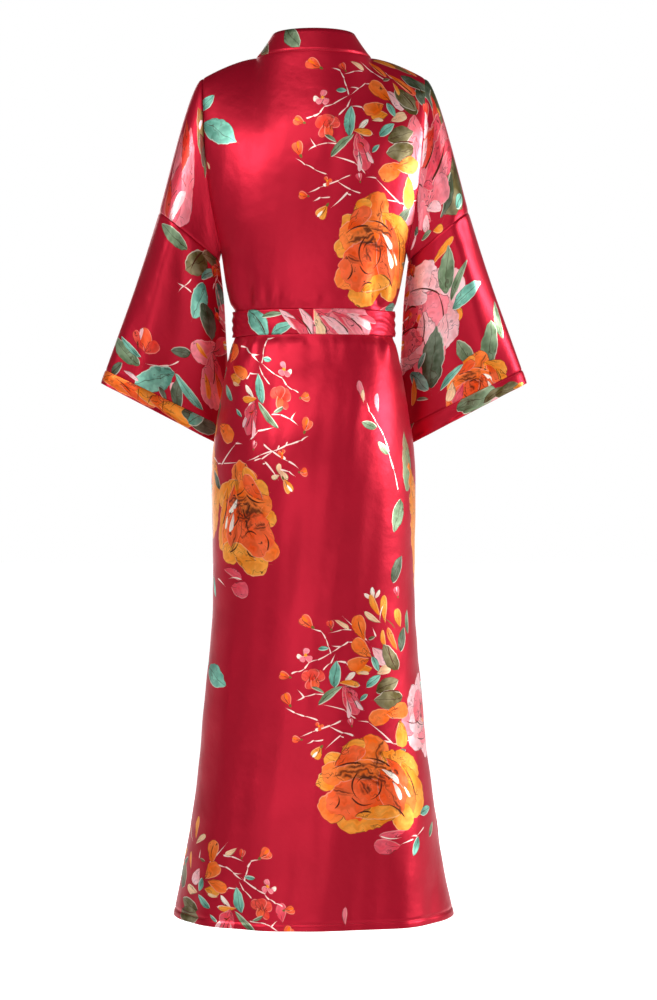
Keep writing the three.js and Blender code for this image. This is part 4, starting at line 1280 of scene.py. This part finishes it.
sleevePiece = {
    "round": 84,
    "gather": 1.5,
    "gatherReach": 0.13,
    "uneven": 0.9,
    "unevenSpan": 46,
    "cuffLift": 0.5,
    "cuffStitches": 2.2,
}
sleeveMotifs = {
    1: {
        "upper": [
            ("slimPetal", -186, -150, 76, -96, "pink"),
            ("slimPetal", -196, -152, 96, -106, "red"),
            ("slimPetal", -206, -158, 70, -108, "pink"),
            ("slimPetal", -216, -166, 60, -110, "blush"),
            ("petal", -196, -196, 84, -128, "pink"),
            ("petal", -212, -204, 66, -116, "rosePink"),
            ("slimPetal", -206, -226, 48, 38, "blush"),
            ("slimPetal", -219, -208, 40, -100, "red"),
            ("slimPetal", -172, -108, 70, -86, "olive"),
            ("slimPetal", -168, -138, 52, -84, "brown"),
            ("leaf", -164, -162, 26, 70, "olive"),
            ("petal", -170, -102, 12, 80, "blush"),
            ("line", -196, -186, 20, -60, "brown"),
            ("line", -184, -186, 14, 6, "brown"),
            ("line", -210, -208, 16, 20, "brown"),
        ],
        "lower": [
            ("leaf", -210, -266, 56, 140, "sage"),
            ("broadLeaf", -176, -306, 62, 190, "olive"),
            ("broadLeaf", -152, -300, 52, 160, "olive"),
            ("line", -176, -306, 50, 30, "brown"),
            ("slimLeaf", -157, -325, 48, 8, "teal"),
            ("leaf", -173, -364, 62, -132, "teal"),
            ("leaf", -140, -364, 54, -102, "teal"),
            ("broadLeaf", -158, -396, 56, -96, "forest"),
            ("slimLeaf", -139, -396, 50, -72, "forest"),
            ("petal", -128, -400, 60, 78, "pink"),
            ("petal", -160, -438, 66, 184, "pink"),
            ("petal", -140, -436, 44, 20, "rosePink"),
            ("slimPetal", -166, -440, 30, 120, "amber"),
            ("petal", -154, -482, 84, -112, "pink"),
            ("slimPetal", -146, -476, 72, -96, "rosePink"),
            ("slimPetal", -144, -492, 44, -92, "scarlet"),
            ("slimPetal", -160, -492, 40, -100, "amber"),
            ("line", -146, -438, 22, -170, "brown"),
            ("line", -152, -470, 40, -110, "brown"),
            ("leaf", -200, -440, 34, 178, "forest"),
            ("leaf", -239, -480, 76, 188, "teal"),
            ("slimPetal", -275, -476, 24, -36, "blush"),
            ("petal", -208, -500, 26, 100, "blush"),
            ("leaf", -226, -504, 22, -70, "forest"),
            ("leaf", -204, -504, 48, 70, "forest"),
            ("slimLeaf", -188, -500, 66, 118, "teal"),
            ("petal", -262, -424, 30, 100, "red"),
            ("petal", -251, -424, 36, 78, "scarlet"),
            ("petal", -242, -436, 32, 18, "red"),
            ("slimPetal", -258, -414, 20, 60, "blush"),
            ("line", -262, -436, 22, 80, "brown"),
            ("leaf", -284, -438, 58, 132, "sage"),
            ("slimLeaf", -276, -432, 44, 128, "teal"),
            ("leaf", -296, -466, 28, 30, "forest"),
        ],
        "cuff": [
            ("petal", -312, -478, 50, -20, "orange"),
            ("petal", -290, -490, 64, -24, "orange"),
            ("petal", -262, -504, 64, -24, "deepOrange"),
            ("petal", -248, -508, 50, -16, "amber"),
            ("petal", -226, -522, 60, -28, "orange"),
            ("petal", -208, -532, 58, -22, "amber"),
            ("line", -290, -488, 34, -40, "brown"),
            ("line", -262, -506, 22, 64, "brown"),
            ("line", -246, -514, 20, 40, "brown"),
            ("line", -226, -524, 24, 60, "brown"),
            ("line", -208, -520, 22, 20, "brown"),
            ("broadLeaf", -170, -546, 62, -30, "forest"),
            ("leaf", -176, -540, 44, 20, "teal"),
        ],
    },
    -1: {
        "upper": [
            ("petal", 178, -150, 130, -104, "rosePink"),
            ("petal", 166, -190, 90, -100, "pink"),
            ("petal", 168, -28, 26, -60, "orange"),
            ("broadLeaf", 174, -50, 60, -64, "forest"),
            ("broadLeaf", 184, -76, 44, -64, "olive"),
            ("broadLeaf", 152, -60, 40, -72, "olive"),
            ("slimPetal", 158, -74, 24, 92, "red"),
            ("slimPetal", 170, -78, 24, 92, "red"),
            ("petal", 184, -84, 18, 60, "amber"),
            ("broadLeaf", 206, -190, 78, -98, "olive"),
            ("slimLeaf", 200, -206, 60, -100, "forest"),
            ("slimPetal", 196, -184, 20, 80, "peach"),
            ("leaf", 218, -214, 24, 60, "teal"),
            ("petal", 160, -98, 46, -100, "blush"),
            ("petal", 152, -138, 40, 80, "blush"),
            ("slimPetal", 184, -106, 84, -70, "red"),
            ("slimPetal", 178, -116, 92, -104, "rosePink"),
            ("slimPetal", 188, -134, 96, -104, "pink"),
            ("slimPetal", 194, -148, 92, -104, "rosePink"),
            ("slimPetal", 168, -132, 78, -110, "red"),
            ("slimPetal", 178, -158, 92, -104, "rosePink"),
            ("slimPetal", 162, -140, 60, -110, "blush"),
            ("slimPetal", 188, -178, 84, -106, "pink"),
            ("petal", 164, -206, 70, 186, "pink"),
            ("petal", 184, -206, 60, 48, "pink"),
            ("slimPetal", 170, -194, 40, 34, "rosePink"),
            ("petal", 164, -238, 60, 190, "pink"),
            ("slimPetal", 178, -226, 44, 24, "blush"),
            ("petal", 170, -250, 34, 170, "blush"),
            ("line", 160, -192, 30, 32, "brown"),
            ("line", 156, -226, 24, -8, "brown"),
            ("line", 168, -224, 20, 20, "brown"),
            ("line", 174, -142, 60, -108, "brown"),
            ("line", 188, -150, 70, -106, "brown"),
            ("line", 160, -112, 18, 40, "brown"),
            ("leaf", 152, -262, 30, 20, "forest"),
            ("petal", 186, -257, 20, 20, "amber"),
            ("leaf", 169, -266, 26, 34, "sage"),
            ("petal", 148, -280, 30, 40, "blush"),
        ],
        "lower": [
            ("slimPetal", 194, -290, 44, 60, "amber"),
            ("petal", 217, -382, 24, -60, "amber"),
            ("peony", 153, -392, 158, 8, "pink"),
            ("petal", 190, -412, 50, -84, "blush"),
            ("leaf", 201, -318, 68, 112, "sage"),
            ("slimLeaf", 218, -334, 52, 84, "sage"),
            ("leaf", 231, -354, 56, 50, "teal"),
            ("slimLeaf", 277, -392, 60, 116, "sage"),
            ("leaf", 266, -426, 64, 106, "sage"),
            ("leaf", 227, -440, 50, 148, "sage"),
            ("rose", 244, -488, 96, 10, "orange"),
            ("petal", 218, -504, 30, -100, "rosePink"),
            ("petal", 206, -500, 28, -80, "peach"),
            ("slimLeaf", 208, -478, 50, 56, "teal"),
            ("leaf", 181, -450, 90, 104, "forest"),
            ("leaf", 162, -454, 26, 80, "teal"),
            ("leaf", 158, -486, 52, -20, "teal"),
            ("slimPetal", 150, -500, 44, -70, "amber"),
            ("slimLeaf", 164, -512, 24, 10, "sage"),
        ],
        "cuff": [
            ("petal", 282, -510, 50, 22, "blush"),
            ("broadLeaf", 244, -514, 74, 24, "sage"),
            ("leaf", 268, -506, 36, 50, "olive"),
            ("broadLeaf", 292, -498, 44, 20, "olive"),
            ("petal", 306, -492, 20, 20, "amber"),
            ("slimLeaf", 148, -542, 50, 80, "olive"),
        ],
    },
}


sleeveTwigs = {
    1: [
        [(-256, -457), (-236, -461), (-216, -462), (-196, -457)],
        [(-204, -338), (-196, -342), (-186, -350)],
        [(-208, -348), (-196, -342), (-178, -334)],
        [(-159, -345), (-150, -338), (-140, -332)],
    ],
    -1: [],
}


seamRings = (0.012, 0.028, 0.05, 0.95, 0.972, 0.988)  # closer rings at a part's two ends


def sleeveGrid(side, first, last, ringCount):
    angles = np.linspace(0, 2 * math.pi, sleevePiece["round"] + 1)
    steps = np.linspace(0, 1, ringCount)
    steps = np.unique(np.concatenate((steps, seamRings)))
    return np.array([sleevePoints(side, angles, at) for at in first + (last - first) * steps])


# Each part's name, where along the sleeve it starts and ends, its rings, piece, node, slot and wall
sleeveParts = (
    ("upper", 0, 1, 40, "sleeveUpper", "sleeve_upper", "satin", walls["cloth"]),
    ("lower", 1, 2, 56, "sleeveLower", "sleeve_lower", "satin", walls["cloth"]),
    ("cuff", 2, 3, 8, "cuffBand", "cuff", "satin_band", walls["doubled"]),
)
for side, word in ((1, "left"), (-1, "right")):
    for part, first, last, rings, pieceName, node, slotName, wall in sleeveParts:
        grid = sleeveGrid(side, first, last, rings)
        normals = outward(grid, -side)
        flat = flatCut(grid, sleevePiece["round"] // 4, side)
        grid = rollEdges(grid, normals, flat, ["top", "foot"] if part != "cuff" else ["top"])
        if part == "cuff":
            grid = grid + normals * sleevePiece["cuffLift"]
        motifs = layOut(sleeveMotifs[side][part], sleeveTwigs[side], seed=31 + side)
        laid = pressOn(grid, normals, flat, motifs)
        if part == "lower":
            hidden = layOut(bouquet, bouquetTwigs, (side * 200, -470), (side * 0.9, 0), (0, 0.9), seed=41)
            laid += pressOn(grid, normals, flat, hidden, front=True)
        tube = {"wall": wall, "flip": side > 0, "closed": True}
        piece = clothPiece(pieceName + word.title(), grid, flat, laid, slotName, **tube)
        stitches = None
        if part == "cuff":
            drop = flat[0, 0, 1] - flat[-1, 0, 1] - sleevePiece["cuffStitches"]
            cuffLines = [lineAbove(values, flat, drop) for values in (grid, normals)]
            stitches = stitched(f"cuffStitches{word.title()}", f"{node}_{word}", *cuffLines, slotName, wall)
        asSheet(f"{node}_{word}", stitches)


# The belt, its knot and its two ends

beltPiece = {"columns": 300, "rows": 14, "crush": 0.9, "uneven": 0.35, "waver": 1.1}


def beltGrid():
    angles = np.linspace(0, 2 * math.pi, beltPiece["columns"] + 1)
    rows = []
    for share in np.linspace(-1, 1, beltPiece["rows"] + 1):
        z = beltSize["z"] - share * beltSize["width"] / 2
        front = beltSize["clearFront"] - section("front", beltSize["z"])
        deep = np.where(np.cos(angles) > 0, section("back", beltSize["z"]) + beltSize["clearBack"], front)
        wide = section("side", beltSize["z"]) + beltSize["clearSide"]
        squeeze = smooth((np.abs(np.sin(angles)) - 0.55) / 0.4)  # most at the two sides
        fade = 1 - share * share * 0.4
        crush = beltPiece["crush"] * np.sin(share * 9 + 5 * np.sin(angles * 5)) * squeeze * fade
        crush = crush + beltPiece["uneven"] * ripple(angles * 110, share * 30 + 0 * angles, 40, 6)
        height = z + beltPiece["waver"] * np.sin(angles * 3 + 1) * squeeze
        rows.append(np.stack([(wide + crush) * np.sin(angles), (deep + crush) * np.cos(angles), height], -1))
    return np.array(rows)


beltMotifs = [
    ("slimLeaf", -122, -392, 30, -60, "olive"),
    ("broadLeaf", -84, -398, 50, -46, "teal"),
    ("line", -82, -398, 34, -50, "brown"),
    ("slimLeaf", -62, -386, 34, 6, "sage"),
    ("leaf", -48, -406, 36, 24, "teal"),
    ("petal", 8, -398, 120, 0, "rosePink"),
    ("petal", 40, -402, 100, 0, "pink"),
    ("petal", 0, -396, 70, 170, "pink"),
    ("slimPetal", -38, -392, 40, -50, "blush"),
    ("slimPetal", -24, -404, 44, -42, "rosePink"),
    ("slimPetal", -10, -396, 46, -62, "blush"),
    ("slimPetal", 6, -400, 50, -70, "peach"),
    ("slimPetal", 18, -396, 46, -48, "rosePink"),
    ("slimPetal", 32, -402, 50, -40, "blush"),
    ("slimPetal", 46, -396, 50, -36, "rosePink"),
    ("slimPetal", 58, -404, 46, -40, "pink"),
    ("slimPetal", 68, -394, 44, -30, "blush"),
    ("slimPetal", 80, -392, 30, -24, "rosePink"),
    ("line", -16, -400, 36, -52, "brown"),
    ("line", 14, -402, 30, -60, "brown"),
    ("line", 38, -400, 36, -44, "brown"),
    ("line", 60, -398, 34, -38, "brown"),
]
grid = beltGrid()
normals = outward(grid, 1)
flat = flatCut(grid, 0, -1)
laid = pressOn(grid, normals, flat, layOut(beltMotifs, seed=51))
beltStrip = clothPiece("beltStrip", grid, flat, laid, "satin_band", walls["belt"], closed=True)
asSheet("belt")

knotSize = {"x": 14, "width": 46, "height": 42, "depth": 26, "twist": 0.07, "crease": 0.05}
knotFront = beltSize["clearFront"] - section("front", beltSize["z"]) + 1.1 + 0.3  # half a wall, and a gap
tailSize = {"width": 38, "clear": 5.0, "rootZ": -421.5, "overhang": 10, "cup": 2.0, "wave": 0.8, "rows": 90}
# Each tail's side, x at its root and foot, its length and how far it is lifted clear of the other
tailRows = (("left", 26, 52, 430, 0), ("right", 6, -14, 395, 3.2))


def tailGrid(rootX, footX, length, lift):
    rows = []
    for down in np.linspace(0, 1, tailSize["rows"]):
        z = tailSize["rootZ"] - length * down
        across = np.linspace(-0.5, 0.5, 11)
        x = mix(rootX, footX, down) + across * tailSize["width"] * (0.72 + 0.28 * smooth(down * 6))
        zs = np.full_like(x, z)
        ridge = np.maximum(0, foldAt("front", x, zs))
        surface = section("front", zs) * np.sqrt(1 - (x / section("side", zs)) ** 2) - ridge
        cup = tailSize["cup"] * np.cos(across * 6.2) * (1 - smooth(down * 4))
        wave = tailSize["wave"] * np.sin(down * 9 + rootX) * smooth(down * 4)
        clear = tailSize["clear"] + lift + tailSize["overhang"] * (1 - smooth(down * 5))
        rows.append(np.stack([x, surface - clear - cup - wave, zs], -1))
    return np.array(rows)


for word, rootX, footX, tailLength, lift in tailRows:
    grid = tailGrid(rootX, footX, tailLength, lift)
    normals = outward(grid, -1)
    flat = flatCut(grid, 5, 1)
    laid = pressOn(grid, normals, flat, layOut(bouquet, bouquetTwigs, (rootX, -700), seed=61), front=True)
    piece = clothPiece(f"beltTail{word.title()}", grid, flat, laid, "satin_band", walls["tail"], flip=True)
    asSheet(f"belt_tail_{word}")


def knotGrid():  # a flattened ball with creases that wind round it
    rows = []
    for turn in np.linspace(0, math.pi, 33):
        angles = np.linspace(0, 2 * math.pi, 65)
        ring = math.sin(turn) ** 0.7 if 0 < turn < math.pi - 1e-6 else 0.0
        crease = 1 + knotSize["twist"] * np.sin(angles * 2 + 3.2 * np.cos(turn) + 0.6) * math.sin(turn)
        crease = crease + knotSize["crease"] * np.sin(angles * 3 - 9 * np.cos(turn)) * math.sin(turn)
        x = knotSize["x"] + knotSize["width"] / 2 * ring * np.sin(angles) * crease
        z = beltSize["z"] + knotSize["height"] / 2 * ring * np.cos(angles) * crease
        flatness = math.copysign(abs(math.cos(turn)) ** 0.8, math.cos(turn))
        y = np.full_like(x, -(knotFront + knotSize["depth"] / 2) - knotSize["depth"] / 2 * flatness)
        rows.append(np.stack([x, y, z], -1))
    return np.array(rows)


grid = knotGrid()
normals = outward(grid, 1)
flat = flatCut(grid, 0, 1)
laid = pressOn(grid, normals, flat, layOut([("peony", 14, -396, 60, 20, "pink")], seed=71), front=True)
knot = clothPiece("beltKnot", grid, flat, laid, "satin_band", closed=True)
knot.modifiers.clear()
bm = bmesh.new()
bm.from_mesh(knot.data)
bmesh.ops.recalc_face_normals(bm, faces=bm.faces)
bm.to_mesh(knot.data)
bm.free()
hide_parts("belt_knot")


# Room, light and camera

room = {"floor": -1480, "floorSize": 30, "ambient": 0.22}
bm = bmesh.new()
bmesh.ops.create_grid(bm, x_segments=1, y_segments=1, size=room["floorSize"])
floorMesh = bpy.data.meshes.new("floor")
bm.to_mesh(floorMesh)
bm.free()
floor = placed("floor", floorMesh)
floor.location.z = room["floor"] * mm
floorMaterial, bench, floorShader = newMaterial("paleFloor")
floorShader.inputs["Base Color"].default_value = (0.85, 0.85, 0.85, 1)
floorShader.inputs["Roughness"].default_value = 0.9
floorShader.inputs["Emission Strength"].default_value = 1
# The floor glows white where it lies beyond the robe, as the sky does
behind = bench.split(bench.node("ShaderNodeTexCoord", out="Object"))[1].above(-0.2, -0.25)
glow = bench.node("ShaderNodeCombineXYZ", values={"X": behind, "Y": behind, "Z": behind})
bench.feed(floorShader.inputs["Emission Color"], glow)
floorMesh.materials.append(floorMaterial)

world = bpy.data.worlds.new("studio")
bpy.context.scene.world = world
world.use_nodes = True
background = world.node_tree.nodes["Background"]
background.inputs[0].default_value = (1, 1, 1, 1)
bench = Bench(world.node_tree)
skyAxes = bench.split(bench.node("ShaderNodeTexCoord", out="Generated"))
overhead = skyAxes[2].above(0.35, 0.9) * -0.7 + 1.0
backdrop = skyAxes[1].above(-0.9, -0.05)
bench.feed(background.inputs[1], overhead * room["ambient"] * (1 - backdrop) + backdrop)

lamps = [  # name, place, aim, width, height and power
    ("highWide", (0.9, 2.9, 1.45), (0, 0, -0.3), 3.6, 0.9, 60),
    ("lowWide", (0.4, 3.4, -1.25), (0, 0, -1.0), 2.2, 0.8, 19),
    ("rightSide", (-2.95, 0.4, 0.0), (-0.28, 0, -0.4), 0.9, 0.8, 76),
    ("leftHigh", (2.4, 2.2, 0.8), (0.15, 0, -0.3), 0.9, 0.9, 38),
    ("frontFill", (0.6, -3.0, 0.2), (0, 0, -0.6), 2.2, 2.2, 30),
]
for name, place, aim, width, height, power in lamps:
    lamp = bpy.data.lights.new(name, "AREA")
    lamp.shape = "RECTANGLE"
    lamp.size = width
    lamp.size_y = height
    lamp.energy = power
    holder = placed(name, lamp)
    holder.location = place
    holder.rotation_euler = (Vector(aim) - Vector(place)).to_track_quat("-Z", "Y").to_euler()

lens = bpy.data.cameras.new("camera")
lens.lens = camera["lens"]
viewer = placed("camera", lens)
viewer.location = (camera["right"] * mm, camera["distance"] * mm, camera["height"] * mm)
viewer.rotation_euler = (math.pi / 2, 0, math.pi)
bpy.context.scene.camera = viewer
bpy.context.scene.view_settings.view_transform = "Standard"
